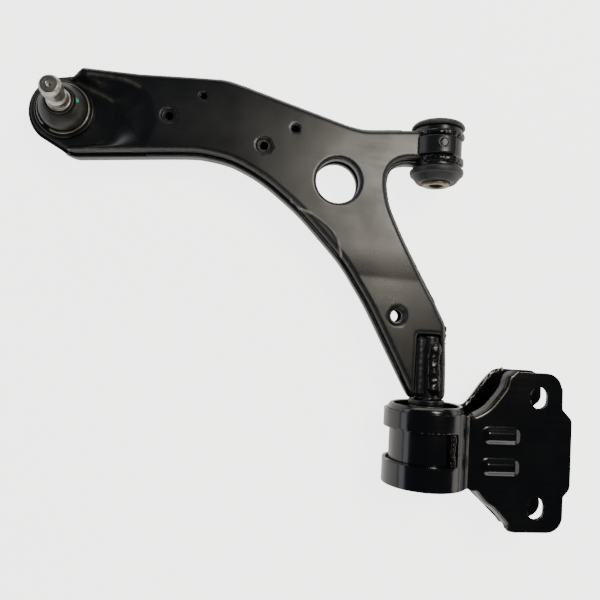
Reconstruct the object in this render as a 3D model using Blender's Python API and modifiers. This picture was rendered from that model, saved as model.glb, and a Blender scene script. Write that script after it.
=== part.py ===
"""Front lower control arm: two welded pressings carry a ball joint at one end and turn
on two rubber bushes, a small one in front and a large one in a bolted bracket behind.

Sizes are in millimetres and meshes are made in metres. +X runs from the ball joint to
the bracket, +Y points to the front bush and +Z up along the ball stud. Heights are
measured from the parting plane of the pressings, which holds the pivot axis.
"""

import math

import bmesh
import bpy
from mathutils import Matrix, Vector

MM = 0.001
GAP = 0.3  # between pieces that touch on the real arm
HIDDEN = 60.0  # how far a cutter runs past what it cuts

# Where the arm is held, seen from above.
BALL = Vector((-221.5, 157.2))
PIVOT_X = 118.0  # the axis of both bushes
FRONT_Y = 152.2  # middle of the front bush
REAR_Y = -121.0  # middle of the rear bush
ELBOW = Vector((22.9, 113.1))  # centre of the large lightening hole

# The pressings.
SHEET = 2.8
SHELL_RISE = 13.0  # parting plane to the outside of each pressing
BEND = 4.0
LAP = 2.0  # how far the lower pressing's rim climbs past the parting plane
NOSE_RADIUS = 29.0
NOSE_RISE = 3.0
HOLE_RADIUS = 20.0
HOLE_ROLL = 3.6
HOLE_FLANGE = 9.0
CRESCENT_FLOOR = 9.5  # height of the step pressed into the concave edge
SEAM_BEAD = 1.2
NOTCH_FAR = 13.8
NOTCH_LENGTH = 58.0

# The front bush, along its own axis.
TUBE_RADIUS = 22.4
TUBE_WALL = 2.5
TUBE_LENGTH = 36.5
SLEEVE_WALL = 1.5
FRONT_FLANGE_PROUD = 2.6
FRONT_FLANGE = TUBE_RADIUS + FRONT_FLANGE_PROUD
FRONT_SPREAD = 43.2  # between the two rubber flanges
FRONT_FLANGE_THICK = 7.0
FRONT_CORE_RADIUS = 12.5
FRONT_BORE = 6.9
FRONT_CORE_NEAR = 34.0  # bush middle to the long end of the core
FRONT_CORE_FAR = 27.3
TONGUE_WIDTH = 17.0
TONGUE_END = 68  # degrees round the tube where the tongue stops
CRADLE_END = 60
PLUG_RADIUS = 4.0

# The rear bush and its pin.
PIN_RADIUS = 11.0
PIN_COLLAR = 16.5
PIN_COLLAR_THICK = 5.0
PIN_IN_ARM = 57.0
PIN_BEAD = 2.6
PIN_BEAD_NEAR = 70  # degrees round the pin
PIN_BEAD_FAR = 95
# Pivot axis to the edge of the notch beside the leg's rim.
NOTCH_NEAR = (
    (PIN_RADIUS + GAP + PIN_BEAD) * math.cos(math.radians(PIN_BEAD_NEAR)) + PIN_BEAD + 0.25
)
SPIGOT_RADIUS = 10.0
CORE_WALL = 5.0
RING_RADIUS = 35.0
RING_WALL = 2.5
RING_LENGTH = 72.0
RING_WAIST = 2.0
RUBBER_RECESS = 8.0

# The bracket that holds the rear bush to the body.
BRACKET_SHEET = 3.0
BRACKET_RISE = 18.0  # pivot axis to the outside of each plate
BRACKET_BEND = 5.0
BAND_TOP = -90.5
BAND_BOTTOM = -157.0
WINDOW_TOP = -106.5
WINDOW_BOTTOM = -136.0
WINDOW_EDGE = 19.0  # pivot axis to the welded edge of the plate in the window
SLOT_X = 218.8
SLOT_SPACING = 100.0
SLOT_MIDDLE = -123.6
SLOT_WIDTH = 15.6
SLOT_LENGTH = 20.0
RIB_HEIGHT = 3.0

# The ball joint, along its own axis.
HOUSING_RADIUS = 21.0
HOUSING_FLANGE = 25.3
FLANGE_TOP = 6.3  # height of the flange that the boot stands on
BALL_RADIUS = 12.0
BALL_DROP = 3.0  # ball centre below the parting plane
SEAT_WALL = 3.2
STUD_RADIUS = 9.0
STUD_TOP = 54.0
STUD_NECK = 6.2
STUD_GROOVE = 7.4
STUD_LEAN = math.radians(3.3)
LEAN_HEADING = math.radians(57.0)
STUD_COLLAR = 10.2
BOOT_RADIUS = 20.0
BOOT_COLLAR = 20.0  # the boot's foot, in the housing's groove
BOOT_TOP = 25.0
BOOT_HINGE = 10.1  # the boot follows the stud above this height
BOOT_FIT = 0.4
RING_WIRE = 1.2

# Height of the pivot axis above the floor, with the bracket's bands resting on it.
BAND_RADIUS = RING_RADIUS + GAP + BRACKET_SHEET
PIVOT_HEIGHT = BAND_RADIUS
RING_TOP = REAR_Y + RING_LENGTH / 2
LEG_END = RING_TOP + 5.5


def clear_scene():
    for obj in list(bpy.data.objects):
        bpy.data.objects.remove(obj)


def new_collection(name):
    made = bpy.data.collections.new(name)
    bpy.context.scene.collection.children.link(made)
    return made


def new_material(name, colour, roughness, metallic):
    made = bpy.data.materials.new(name)
    made.use_nodes = True
    shader = made.node_tree.nodes["Principled BSDF"]
    shader.inputs["Base Color"].default_value = (*colour, 1)
    shader.inputs["Roughness"].default_value = roughness
    shader.inputs["Metallic"].default_value = metallic
    return made


def new_empty(name, location, rotation=(0, 0, 0), parent=None):
    empty = bpy.data.objects.new(name, None)
    PARTS.objects.link(empty)
    empty.location = Vector(location) * MM
    empty.rotation_euler = rotation
    empty.parent = parent
    return empty


def new_object(name, mesh, group=None):
    obj = bpy.data.objects.new(name, mesh)
    (group or CUTTERS).objects.link(obj)
    return obj


def evaluated_mesh(obj):
    """The object's mesh with its modifiers applied."""
    graph = bpy.context.evaluated_depsgraph_get()
    return bpy.data.meshes.new_from_object(obj.evaluated_get(graph))


def tidy_mesh(mesh, flat_only=True):
    """Close the mesh at its loose caps and take out edges inside flat faces."""
    shape = bmesh.new()
    shape.from_mesh(mesh)
    bmesh.ops.remove_doubles(shape, verts=shape.verts, dist=1e-6)
    if flat_only:
        bmesh.ops.dissolve_limit(
            shape, angle_limit=math.radians(0.05), verts=shape.verts, edges=shape.edges
        )
    bmesh.ops.recalc_face_normals(shape, faces=shape.faces)
    shape.to_mesh(mesh)
    shape.free()


def prism(name, outline, bottom, top):
    """A flat outline with straight sides between two heights."""
    curve = bpy.data.curves.new(name, "CURVE")
    curve.dimensions = "2D"
    curve.fill_mode = "BOTH"
    curve.extrude = (top - bottom) / 2 * MM
    spline = curve.splines.new("POLY")
    spline.points.add(len(outline) - 1)
    for point, (x, y) in zip(spline.points, outline):
        point.co = (x * MM, y * MM, 0, 1)
    spline.use_cyclic_u = True
    drawn = new_object(name + "_outline", curve)
    mesh = evaluated_mesh(drawn)
    bpy.data.objects.remove(drawn)
    mesh.transform(Matrix.Translation((0, 0, (top + bottom) / 2 * MM)))
    tidy_mesh(mesh)
    return new_object(name, mesh)


def loft(name, low, high, bottom, top):
    """A block between two outlines of the same number of points."""
    shape = bmesh.new()
    rings = [
        [shape.verts.new((x * MM, y * MM, height * MM)) for x, y in outline]
        for outline, height in ((low, bottom), (high, top))
    ]
    count = len(low)
    for i in range(count):
        j = (i + 1) % count
        shape.faces.new((rings[0][i], rings[0][j], rings[1][j], rings[1][i]))
    shape.faces.new(rings[0])
    shape.faces.new(rings[1])
    bmesh.ops.recalc_face_normals(shape, faces=shape.faces)
    mesh = bpy.data.meshes.new(name)
    shape.to_mesh(mesh)
    shape.free()
    return new_object(name, mesh)


def turned(name, profile, steps=36, group=None):
    """A shape turned about Z. The (radius, height) profile runs down its outer side."""
    mesh = bpy.data.meshes.new(name)
    points = [(radius * MM, 0, height * MM) for radius, height in profile]
    on_axis = profile[0][0] == 0
    edges = [(i, i + 1) for i in range(len(points) - 1)]
    if not on_axis:
        edges.append((len(points) - 1, 0))
    mesh.from_pydata(points, edges, [])
    obj = new_object(name, mesh, group)
    screw = obj.modifiers.new("Turn", "SCREW")
    screw.steps = steps
    screw.render_steps = steps
    screw.use_merge_vertices = True
    screw.merge_threshold = 1e-5
    return obj


def bead(name, path, radius, group=None, cyclic=False):
    """A weld bead: a round bar along a path."""
    curve = bpy.data.curves.new(name, "CURVE")
    curve.dimensions = "3D"
    curve.bevel_depth = radius * MM
    curve.bevel_resolution = 1
    curve.use_fill_caps = True
    spline = curve.splines.new("POLY")
    spline.points.add(len(path) - 1)
    for point, place in zip(spline.points, path):
        point.co = (*(Vector(place) * MM), 1)
    spline.use_cyclic_u = cyclic
    return new_object(name, curve, group)


def arc(centre, radius, start, end, steps):
    """Points along an arc, with the angles in degrees."""
    angles = [start + (end - start) * i / steps for i in range(steps + 1)]
    return [
        (
            centre[0] + radius * math.cos(math.radians(angle)),
            centre[1] + radius * math.sin(math.radians(angle)),
        )
        for angle in angles
    ]


def flowing(points, steps):
    """A smooth line through the points, which are kept (Catmull-Rom)."""
    padded = [points[0], *points, points[-1]]
    line = []
    for a, b, c, d in zip(padded, padded[1:], padded[2:], padded[3:]):
        for i in range(steps):
            t = i / steps
            weights = (
                -t + 2 * t**2 - t**3,
                2 - 5 * t**2 + 3 * t**3,
                t + 4 * t**2 - 3 * t**3,
                -(t**2) + t**3,
            )
            line.append(
                tuple(
                    sum(w * p[k] for w, p in zip(weights, (a, b, c, d))) / 2
                    for k in (0, 1)
                )
            )
    line.append(points[-1])
    return line


def moved_out(outline, distance):
    """A closed outline moved outwards. It runs clockwise, and sharp corners are mitred."""
    moved = []
    for i, point in enumerate(outline):
        here = Vector(point)
        before = (here - Vector(outline[i - 1])).normalized()
        after = (Vector(outline[(i + 1) % len(outline)]) - here).normalized()
        normal = Vector((-before.y - after.y, before.x + after.x)).normalized()
        reach = distance / max(0.5, normal.dot(Vector((-before.y, before.x))))
        moved.append(tuple(here + normal * reach))
    return moved


def beside(line, distance):
    """An open line moved to its left."""
    moved = []
    for i, point in enumerate(line):
        ahead = Vector(line[min(i + 1, len(line) - 1)])
        behind = Vector(line[max(i - 1, 0)])
        along = (ahead - behind).normalized()
        moved.append(
            (point[0] - along.y * distance, point[1] + along.x * distance)
        )
    return moved


def combine(obj, other, operation):
    """Cut the object with another, join them, or keep what they share."""
    modifier = obj.modifiers.new(other.name, "BOOLEAN")
    modifier.object = other
    modifier.operation = operation
    modifier.solver = "EXACT"
    other.hide_render = True
    other.display_type = "WIRE"


def cut(obj, *others):
    for other in others:
        combine(obj, other, "DIFFERENCE")


def join(obj, *others):
    for other in others:
        combine(obj, other, "UNION")


def settle(obj):
    """Replace the object's mesh by what its modifiers make of it."""
    mesh = evaluated_mesh(obj)
    obj.modifiers.clear()
    obj.data = mesh
    return obj


def round_edges(obj, chosen, width, segments):
    """Bevel the edges for which chosen(first end, second end) holds, in millimetres."""
    shape = bmesh.new()
    shape.from_mesh(obj.data)
    edges = [
        edge
        for edge in shape.edges
        if chosen(edge.verts[0].co / MM, edge.verts[1].co / MM)
    ]
    bmesh.ops.bevel(
        shape,
        geom=edges,
        offset=width * MM,
        segments=segments,
        profile=0.5,
        affect="EDGES",
        clamp_overlap=True,
    )
    shape.to_mesh(obj.data)
    shape.free()


def as_part(obj, name, material, parent):
    """Make a shape one of the arm's pieces."""
    for group in list(obj.users_collection):
        group.objects.unlink(obj)
    PARTS.objects.link(obj)
    obj.name = name
    obj.data.name = name
    obj.data.materials.clear()
    obj.data.materials.append(material)
    obj.parent = parent
    if obj.type == "MESH":
        obj.data.shade_smooth()
        obj.data.set_sharp_from_angle(angle=math.radians(35))
    return obj


# ---- The two pressings ----


def concave_side():
    """The arm's long inner edge, from the ball joint round the elbow to the leg's tip."""
    x, y = ELBOW
    bend = flowing(
        [
            (x - 134.3, y + 15.4),
            (x - 116.5, y + 15.1),
            (x - 97.7, y + 11.7),
            (x - 64.5, y - 4.2),
            (x - 30.7, y - 30.5),
            (x + 8.7, y - 71.4),
            (x + 37.0, y - 113.5),
        ],
        3,
    )
    return [
        (BALL.x + 12.2, BALL.y - 37.4),
        *bend,
        (PIVOT_X - 17.9, LEG_END + 6.1),
    ]


def far_side():
    """The edge from the ball joint to the front bush, away from the concave side."""
    shoulder = flowing(
        [
            (ELBOW.x - 115.9, ELBOW.y + 82.6),
            (ELBOW.x - 104.3, ELBOW.y + 82.0),
            (ELBOW.x - 85.0, ELBOW.y + 77.3),
        ],
        2,
    )
    neck = flowing(
        [
            (PIVOT_X - 91.8, FRONT_Y + 13.3),
            (PIVOT_X - 73.1, FRONT_Y + 10.0),
            (PIVOT_X - 49.8, FRONT_Y + 11.7),
            (PIVOT_X - 26.2, FRONT_Y + 13.9),
        ],
        2,
    )
    return [
        (BALL.x + 14.0, BALL.y + 36.9),
        *shoulder,
        *neck,
        (PIVOT_X - 10.0, FRONT_Y + 14.4),
    ]


def saddle_side():
    """The edge from the front bush down the leg to the rear pin."""
    saddle = flowing(
        [
            (PIVOT_X - 26.9, FRONT_Y - 12.3),
            (PIVOT_X - 40.9, FRONT_Y - 16.1),
            (PIVOT_X - 50.9, FRONT_Y - 31.2),
            (PIVOT_X - 46.3, FRONT_Y - 59.4),
            (PIVOT_X - 29.6, FRONT_Y - 93.1),
            (PIVOT_X - 10.2, FRONT_Y - 126.7),
        ],
        3,
    )
    return [
        (PIVOT_X - 10.0, FRONT_Y - 12.3),
        *saddle,
        (PIVOT_X + 11.4, LEG_END + 67.8),
        (PIVOT_X + 14.2, LEG_END + 5.0),
        (PIVOT_X + 14.2, LEG_END + 1.0),
        (PIVOT_X - 16.5, LEG_END),
    ]


def arm_outline():
    """The upper pressing's closed outline, clockwise from the ball joint."""
    return far_side() + saddle_side() + concave_side()[::-1]


def nose_outline():
    """The rounded end of the pressings under the ball joint."""
    head = arc(BALL, NOSE_RADIUS, 228, 112, 12)
    return [
        (BALL.x + 25.0, BALL.y - 33.0),
        (BALL.x + 12.2, BALL.y - 36.4),
        (BALL.x + 4.0, BALL.y - 32.0),
        *head,
        (BALL.x - 2.0, BALL.y + 29.2),
        (BALL.x + 14.0, BALL.y + 35.9),
        (BALL.x + 25.0, BALL.y + 33.0),
    ]


def pocket():
    """The block that presses the ball joint's seat down from the arm's flat."""
    low = [(-60, 46), (-4, 31), (8, 24.5), (27, 18), (42, 10), (44, -10), (36, -25), (14, -31), (-60, -50)]
    high = [(-60, 48), (8, 35), (17, 29.8), (54, 29.3), (70, 22), (72, -8), (66, -29), (17, -35.7), (-60, -52)]
    floor = [(BALL.x + x, BALL.y + y) for x, y in low]
    mouth = [(BALL.x + x, BALL.y + y) for x, y in high]
    return loft("pocket", floor, mouth, NOSE_RISE, SHELL_RISE + 1)


def hollow_limit():
    """The block that keeps the hollow inside a pressing away from the pocket."""
    far, near = BALL.y + HIDDEN, BALL.y - HIDDEN
    slope_low = BALL.x + 47.0
    slope_high = BALL.x + 75.0
    back = BALL.x - HIDDEN
    low = [(back, far), (slope_low, far), (slope_low, near), (back, near)]
    high = [(back, far), (slope_high, far), (slope_high, near), (back, near)]
    return loft("hollow_limit", low, high, NOSE_RISE - SHEET - 0.1, SHELL_RISE - SHEET + 1)


def dimple(name, x, y, rim, hole, depth, floor_radius):
    """A pressed dimple with a hole: what is added below the sheet, and what is cut."""
    top = SHELL_RISE
    added = prism(
        name + "_back", arc((x, y), rim + 1.6, 0, 345, 23), top - SHEET - depth, top - SHEET / 2
    )
    bowl = turned(
        name + "_bowl",
        [
            (0, top + 2),
            (rim, top + 2),
            (rim, top - 0.2),
            (floor_radius, top - depth),
            (hole, top - depth),
            (hole, top - SHEET - depth - 2),
            (0, top - SHEET - depth - 2),
        ],
        24,
    )
    bowl.location = (x * MM, y * MM, 0)
    return added, bowl


def hole_flange():
    """The collar drawn inwards round the large hole, and the rolled mouth that opens it."""
    top = SHELL_RISE
    outer = HOLE_RADIUS + SHEET
    collar = turned(
        "hole_collar",
        [
            (outer, top - SHEET / 2),
            (outer, top - HOLE_FLANGE),
            (HOLE_RADIUS - 1, top - HOLE_FLANGE),
            (HOLE_RADIUS - 1, top - SHEET / 2),
        ],
        48,
    )
    roll = arc((HOLE_RADIUS + HOLE_ROLL, top - HOLE_ROLL), HOLE_ROLL, 90, 180, 4)
    mouth = turned(
        "hole_mouth",
        [(0, top + 2), (roll[0][0], top + 2), *roll, (HOLE_RADIUS, -3), (0, -3)],
        48,
    )
    for piece in (collar, mouth):
        piece.location = (ELBOW.x * MM, ELBOW.y * MM, 0)
    return collar, mouth


def bush_cutter():
    """Trims a pressing where it meets the front bush's housing tube."""
    cutter = turned(
        "bush_trim",
        [
            (0, HIDDEN),
            (TUBE_RADIUS + GAP, HIDDEN),
            (TUBE_RADIUS + GAP, -HIDDEN),
            (0, -HIDDEN),
        ],
        48,
    )
    cutter.location = (PIVOT_X * MM, FRONT_Y * MM, 0)
    cutter.rotation_euler = (math.radians(-90), 0, 0)
    return cutter


def wrap(name, start, end, width):
    """A strip of sheet bent round the front housing tube, from one angle to another."""
    outer = TUBE_RADIUS + GAP + SHEET
    inner = TUBE_RADIUS - 1
    band = arc((0, 0), outer, start, end, 12) + arc((0, 0), inner, end, start, 12)
    strip = prism(name, band, -width / 2, width / 2)
    strip.data.transform(Matrix.Rotation(math.radians(90), 4, "X"))
    strip.location = (PIVOT_X * MM, FRONT_Y * MM, 0)
    return strip


def crescent(name, shift, low, high):
    """The shallow step pressed into the concave edge under the large hole."""
    rim = flowing([(-42, -20), (-37.5, -26), (-12, -38.5), (2, -54), (6.5, -73), (6, -82)], 3)
    outline = [(ELBOW.x + x + shift, ELBOW.y + y + shift) for x, y in rim]
    outline += [(ELBOW.x - 40, ELBOW.y - 100), (ELBOW.x - 80, ELBOW.y - 40)]
    return prism(name, outline, low, high)


def pin_notch():
    """The slot in a pressing through which the rear pin is welded."""
    left, right = PIVOT_X - NOTCH_FAR, PIVOT_X + NOTCH_NEAR
    corners = [
        (left, LEG_END + NOTCH_LENGTH),
        (right, LEG_END + NOTCH_LENGTH),
        (right, LEG_END - 5),
        (left, LEG_END - 5),
    ]
    return prism("pin_notch", corners, 2, HIDDEN)


def pin_clearance():
    """Room for the rear pin along the inside of a pressing."""
    corners = arc((0, 0), PIN_RADIUS + GAP, 0, 345, 23)
    cutter = prism("pin_clearance", corners, -PIN_IN_ARM - 1, 30)
    cutter.data.transform(Matrix.Rotation(math.radians(90), 4, "X"))
    cutter.location = (PIVOT_X * MM, LEG_END * MM, 0)
    return cutter


def ball_hole(name):
    """The hole that the ball joint's housing is pressed through."""
    return prism(name, arc(BALL, HOUSING_RADIUS + GAP, 0, 350, 35), -HIDDEN, HIDDEN)


def pressing(name, outset, bottom, with_openings, trims=()):
    """One pressing with its outside up: its outline moved out, down to the bottom height."""
    outline = moved_out(arm_outline(), outset)
    body = prism(name, outline, bottom, SHELL_RISE)
    top = SHELL_RISE
    round_edges(body, lambda a, b: a.z > top - 0.01 and b.z > top - 0.01, BEND, 3)
    hollow = prism(
        name + "_hollow", moved_out(outline, -SHEET), bottom - 2, SHELL_RISE - SHEET
    )
    roof = SHELL_RISE - SHEET
    round_edges(
        hollow, lambda a, b: a.z > roof - 0.01 and b.z > roof - 0.01, BEND - SHEET, 1
    )
    cut(hollow, hollow_limit())
    cut(body, hollow, *trims)
    join(body, prism(name + "_nose", nose_outline(), GAP / 2, NOSE_RISE + 0.5))
    cut(body, pocket())
    collar, mouth = hole_flange()
    join(body, collar)
    cut(body, mouth)
    for added, bowl in with_openings:
        join(body, added)
        cut(body, bowl)
    cut(body, ball_hole(name + "_ball_hole"), pin_notch(), pin_clearance())
    return body


def pin_hole_dimple():
    """The countersunk hole through both pressings on the leg."""
    return dimple("leg_hole", PIVOT_X - 34.3, LEG_END + 73.6, 9.7, 5.5, 3.0, 6.5)


def upper_shell():
    x, y = ELBOW
    openings = [
        dimple("outer_hole", x - 153.5, y + 45.1, 7.5, 3.7, 2.5, 7.0),
        dimple("small_hole", x - 124.6, y + 65.3, 4.2, 3.0, 1.2, 3.2),
        dimple("inner_hole", x - 68.8, y + 26.1, 7.5, 3.7, 2.5, 7.0),
        dimple("edge_hole", x - 41.2, y + 43.7, 4.6, 3.4, 1.2, 3.6),
        pin_hole_dimple(),
    ]
    shell = pressing("upper_pressing", 0, GAP / 2, openings)
    pad = crescent("crescent_pad", SHEET, CRESCENT_FLOOR - SHEET, SHELL_RISE - SHEET / 2)
    inside = prism("crescent_limit", moved_out(arm_outline(), -SHEET / 2), 0, SHELL_RISE)
    combine(pad, inside, "INTERSECT")
    join(shell, pad)
    cut(shell, crescent("crescent_step", 0, CRESCENT_FLOOR, SHELL_RISE + 5))
    join(shell, wrap("tongue", TONGUE_END, 158, TONGUE_WIDTH))
    cut(shell, bush_cutter())
    plug = prism(
        "plug_hole", arc((PIVOT_X - 2.7, FRONT_Y + 0.7), PLUG_RADIUS + 0.4, 0, 342, 19), 15, HIDDEN
    )
    cut(shell, plug)
    return as_part(settle(shell), "upper_shell", BLACK_PAINT, ARM)


def lower_shell():
    nose_side = box_outline(BALL.x, BALL.y, 100, 2 * HIDDEN)
    blunt = prism("lap_start", nose_side, -LAP - 6, GAP / 2 + 0.4)
    leg_side = box_outline(PIVOT_X, LEG_END - 51, 2 * HIDDEN, 100)
    square = prism("leg_square", leg_side, -LAP - 6, HIDDEN)
    openings = [pin_hole_dimple()]
    shell = pressing("lower_pressing", GAP + SHEET, -LAP, openings, [blunt, square])
    join(shell, wrap("cradle", CRADLE_END, 158, TONGUE_WIDTH))
    cut(shell, bush_cutter())
    settle(shell)
    shell.data.transform(Matrix.Scale(-1, 4, (0, 0, 1)))
    shell.data.flip_normals()
    return as_part(shell, "lower_shell", BLACK_PAINT, ARM)


def seam_welds():
    """The beads that lie on the lower pressing's rim, against the upper one's walls."""
    height = LAP + GAP + SEAM_BEAD
    offset = GAP + SEAM_BEAD
    runs = {
        "seam_weld_concave": (concave_side()[1:-1], -offset),
        "seam_weld_front": (far_side()[1:-2], offset),
        "seam_weld_leg": (saddle_side()[3:-4], offset),
    }
    for name, (line, side) in runs.items():
        path = [(x, y, height) for x, y in beside(line, side)]
        as_part(bead(name, path, SEAM_BEAD), name, WELD_PAINT, ARM)


# ---- The front bush ----


def front_bush():
    half = TUBE_LENGTH / 2
    inner = TUBE_RADIUS - TUBE_WALL
    tube = turned(
        "front_housing_tube",
        [(TUBE_RADIUS, half), (TUBE_RADIUS, -half), (inner, -half), (inner, half)],
        48,
    )
    as_part(tube, "front_housing_tube", BLACK_PAINT, FRONT)

    outer = inner - GAP
    bond = outer - SLEEVE_WALL
    end = half + 1.0
    sleeve = turned(
        "front_outer_sleeve",
        [(outer, end), (outer, -end), (bond, -end), (bond, end)],
        40,
    )
    as_part(sleeve, "front_outer_sleeve", PLATED_STEEL, FRONT)
    as_part(front_rubber(bond - GAP, end + GAP), "front_rubber", RUBBER, FRONT)

    chamfer = 1.0
    core = FRONT_CORE_RADIUS
    profile = [
        (core - chamfer, FRONT_CORE_FAR),
        (core, FRONT_CORE_FAR - chamfer),
        (core, -FRONT_CORE_NEAR + chamfer),
        (core - chamfer, -FRONT_CORE_NEAR),
        (FRONT_BORE, -FRONT_CORE_NEAR),
        (FRONT_BORE, FRONT_CORE_FAR),
    ]
    as_part(turned("front_inner_sleeve", profile, 40), "front_inner_sleeve", PLATED_STEEL, FRONT)


def front_rubber(body, shoulder):
    """The rubber between the sleeves, with a flange at each end and a cone at the long one."""
    middle = FRONT_SPREAD / 2
    rim = FRONT_FLANGE
    bore = FRONT_CORE_RADIUS + GAP
    thick = FRONT_FLANGE_THICK
    upper = [
        (bore + 1.2, middle + 4.6),
        (rim - 8.0, middle + 4.0),
        (rim - 2.0, middle + 2.2),
        (rim, middle - 0.4),
        (rim - 0.8, middle - thick / 2 + 0.4),
        (rim - 3.0, shoulder),
    ]
    lower = [
        (rim - 3.0, -shoulder),
        (rim - 0.8, -middle + thick / 2 - 0.4),
        (rim, -middle),
        (rim - 1.0, -middle - 3.0),
        (rim - 6.0, -middle - 7.0),
        (bore + 3.0, -middle - 9.6),
        (bore, -middle - 9.8),
    ]
    return turned(
        "front_rubber_profile",
        [*upper, (body, shoulder), (body, -shoulder), *lower, (bore, middle + 4.6)],
        36,
    )


def front_welds():
    """The beads on the housing tube beside the tongue, and the plug weld in it."""
    radius = 1.5
    reach = TUBE_RADIUS + GAP + radius
    offset = TONGUE_WIDTH / 2 + GAP + radius
    for name, side in (("front_weld_long", -1), ("front_weld_short", 1)):
        path = [(x, side * offset, z) for x, z in arc((0, 0), reach, 20, 140, 12)]
        weld = bead(name, [(PIVOT_X + x, FRONT_Y + y, z) for x, y, z in path], radius)
        as_part(weld, name, WELD_PAINT, ARM)
    plug = turned(
        "front_plug",
        [(0, 1.4), (PLUG_RADIUS * 0.6, 1.2), (PLUG_RADIUS, 0.5), (PLUG_RADIUS, 0), (0, 0)],
        20,
    )
    plug.location = Vector((PIVOT_X - 2.7, FRONT_Y + 0.7, TUBE_RADIUS + GAP)) * MM
    as_part(plug, "front_plug_weld", WELD_PAINT, ARM)


# ---- The rear bush ----


def rear_pin():
    """The pin welded into the leg, with the collar and the spigot that carry the bush."""
    start = LEG_END - REAR_Y + PIN_IN_ARM
    collar_top = LEG_END - REAR_Y - 1.5
    collar_end = collar_top - PIN_COLLAR_THICK
    end = -RING_LENGTH / 2 + 4
    profile = [
        (0, start),
        (PIN_RADIUS - 1.5, start),
        (PIN_RADIUS, start - 1.5),
        (PIN_RADIUS, collar_top),
        (PIN_COLLAR, collar_top),
        (PIN_COLLAR, collar_end),
        (SPIGOT_RADIUS, collar_end),
        (SPIGOT_RADIUS, end + 2),
        (SPIGOT_RADIUS - 2, end),
        (0, end),
    ]
    as_part(turned("rear_pin_profile", profile, 36), "rear_pin", BLACK_PAINT, REAR)
    return collar_end


def pin_welds():
    """The heavy beads that fill the notches beside the rear pin."""
    reach = PIN_RADIUS + GAP + PIN_BEAD
    top = LEG_END + NOTCH_LENGTH - 4
    angles = {
        "pin_weld_upper_near": PIN_BEAD_NEAR,
        "pin_weld_upper_far": PIN_BEAD_FAR,
        "pin_weld_lower_near": -PIN_BEAD_NEAR,
        "pin_weld_lower_far": -PIN_BEAD_FAR,
    }
    for name, angle in angles.items():
        x = PIVOT_X + reach * math.cos(math.radians(angle))
        z = reach * math.sin(math.radians(angle))
        path = [(x, LEG_END + 3 + (top - LEG_END - 3) * i / 8, z) for i in range(9)]
        as_part(bead(name, path, PIN_BEAD), name, WELD_PAINT, ARM)


def rear_bush(collar_end):
    core = SPIGOT_RADIUS + GAP
    core_outer = core + CORE_WALL
    low = -RING_LENGTH / 2 + 5
    high = collar_end - GAP
    sleeve = turned(
        "rear_core",
        [(core_outer, high), (core_outer, low), (core, low), (core, high)],
        36,
    )
    as_part(sleeve, "rear_inner_sleeve", PLATED_STEEL, REAR)

    half = RING_LENGTH / 2
    lip = 1.5
    window_top = WINDOW_TOP - REAR_Y
    window_low = WINDOW_BOTTOM - REAR_Y
    waist = RING_RADIUS - RING_WAIST
    middle = (window_top + window_low) / 2
    slack = (window_top - window_low) / 2
    skin = [
        (RING_RADIUS - lip, half),
        (RING_RADIUS, half - lip),
        (RING_RADIUS, window_top),
        (waist + 0.5, middle + slack / 2),
        (waist, middle),
        (waist + 0.5, middle - slack / 2),
        (RING_RADIUS, window_low),
        (RING_RADIUS, -half + lip),
        (RING_RADIUS - lip, -half),
    ]
    inside = [(r - RING_WALL, min(max(h, -half), half)) for r, h in skin[::-1]]
    ring = turned("rear_ring", skin + inside, 44)
    as_part(ring, "rear_outer_ring", BLACK_PAINT, RING)

    reach = waist - RING_WALL - GAP
    bore = core_outer + GAP
    top = half - RUBBER_RECESS
    rubber = turned(
        "rear_rubber_profile",
        [
            (reach - 5, top - 1),
            (reach, top),
            (reach, -top),
            (reach - 5, -top + 1),
            (bore + 3, -top - 2),
            (bore, -top - 2.5),
            (bore, min(top + 2.5, high)),
            (bore + 3, min(top + 2, high - 0.5)),
        ],
        40,
    )
    as_part(rubber, "rear_rubber", RUBBER, RING)


# ---- The bracket ----


def bracket_profile():
    """The sheet seen along the pivot axis: both plates and the wrap round the bush."""
    bend_z = BRACKET_RISE + BRACKET_BEND
    bend_x = math.sqrt((BAND_RADIUS + BRACKET_BEND) ** 2 - bend_z**2)
    turn = math.degrees(math.atan2(bend_z, bend_x))
    inner = BAND_RADIUS - BRACKET_SHEET
    far_end = SLOT_X - PIVOT_X + 50

    def half_line(radius, corner, rise):
        return [(far_end, rise)] + arc((bend_x, bend_z), corner, 270, 180 + turn, 4) + arc(
            (0, 0), radius, turn, 180, 20
        )

    outer = half_line(BAND_RADIUS, BRACKET_BEND, BRACKET_RISE)
    inside = half_line(inner, BRACKET_BEND + BRACKET_SHEET, BRACKET_RISE - BRACKET_SHEET)
    outer += [(x, -z) for x, z in outer[-2::-1]]
    inside += [(x, -z) for x, z in inside[-2::-1]]
    return outer + inside[::-1]


def near_plate_outline():
    """The upper plate seen from above, with the bands at its left."""
    left = PIVOT_X - HIDDEN
    x = SLOT_X
    top = SLOT_MIDDLE + SLOT_SPACING / 2
    low = SLOT_MIDDLE - SLOT_SPACING / 2
    return [
        (left, BAND_TOP),
        (x - 70, BAND_TOP - 0.5),
        (x - 62, BAND_TOP),
        (x - 54, top - 15),
        (x - 46.7, top - 9.3),
        (x - 33.1, top + 9.0),
        (x - 31.2, top + 17.6),
        (x - 26.9, top + 21.6),
        *arc((x + 7, top + 6.8), 15.2, 90, 10, 5),
        (x + 23.2, top - 9.7),
        (x + 32.2, top - 17.7),
        (x + 32.2, low + 17.6),
        (x + 24.6, low + 11.2),
        *arc((x + 9, low - 5.6), 16.0, 0, -90, 5),
        (x - 18.9, low - 21.4),
        (x - 24.0, low - 19.4),
        (x - 26.5, low - 15.7),
        (x - 38.7, low - 2.6),
        (x - 47.0, low + 2.9),
        (x - 56.6, low + 12.5),
        (x - 66, BAND_BOTTOM),
        (left, BAND_BOTTOM),
    ]


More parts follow.
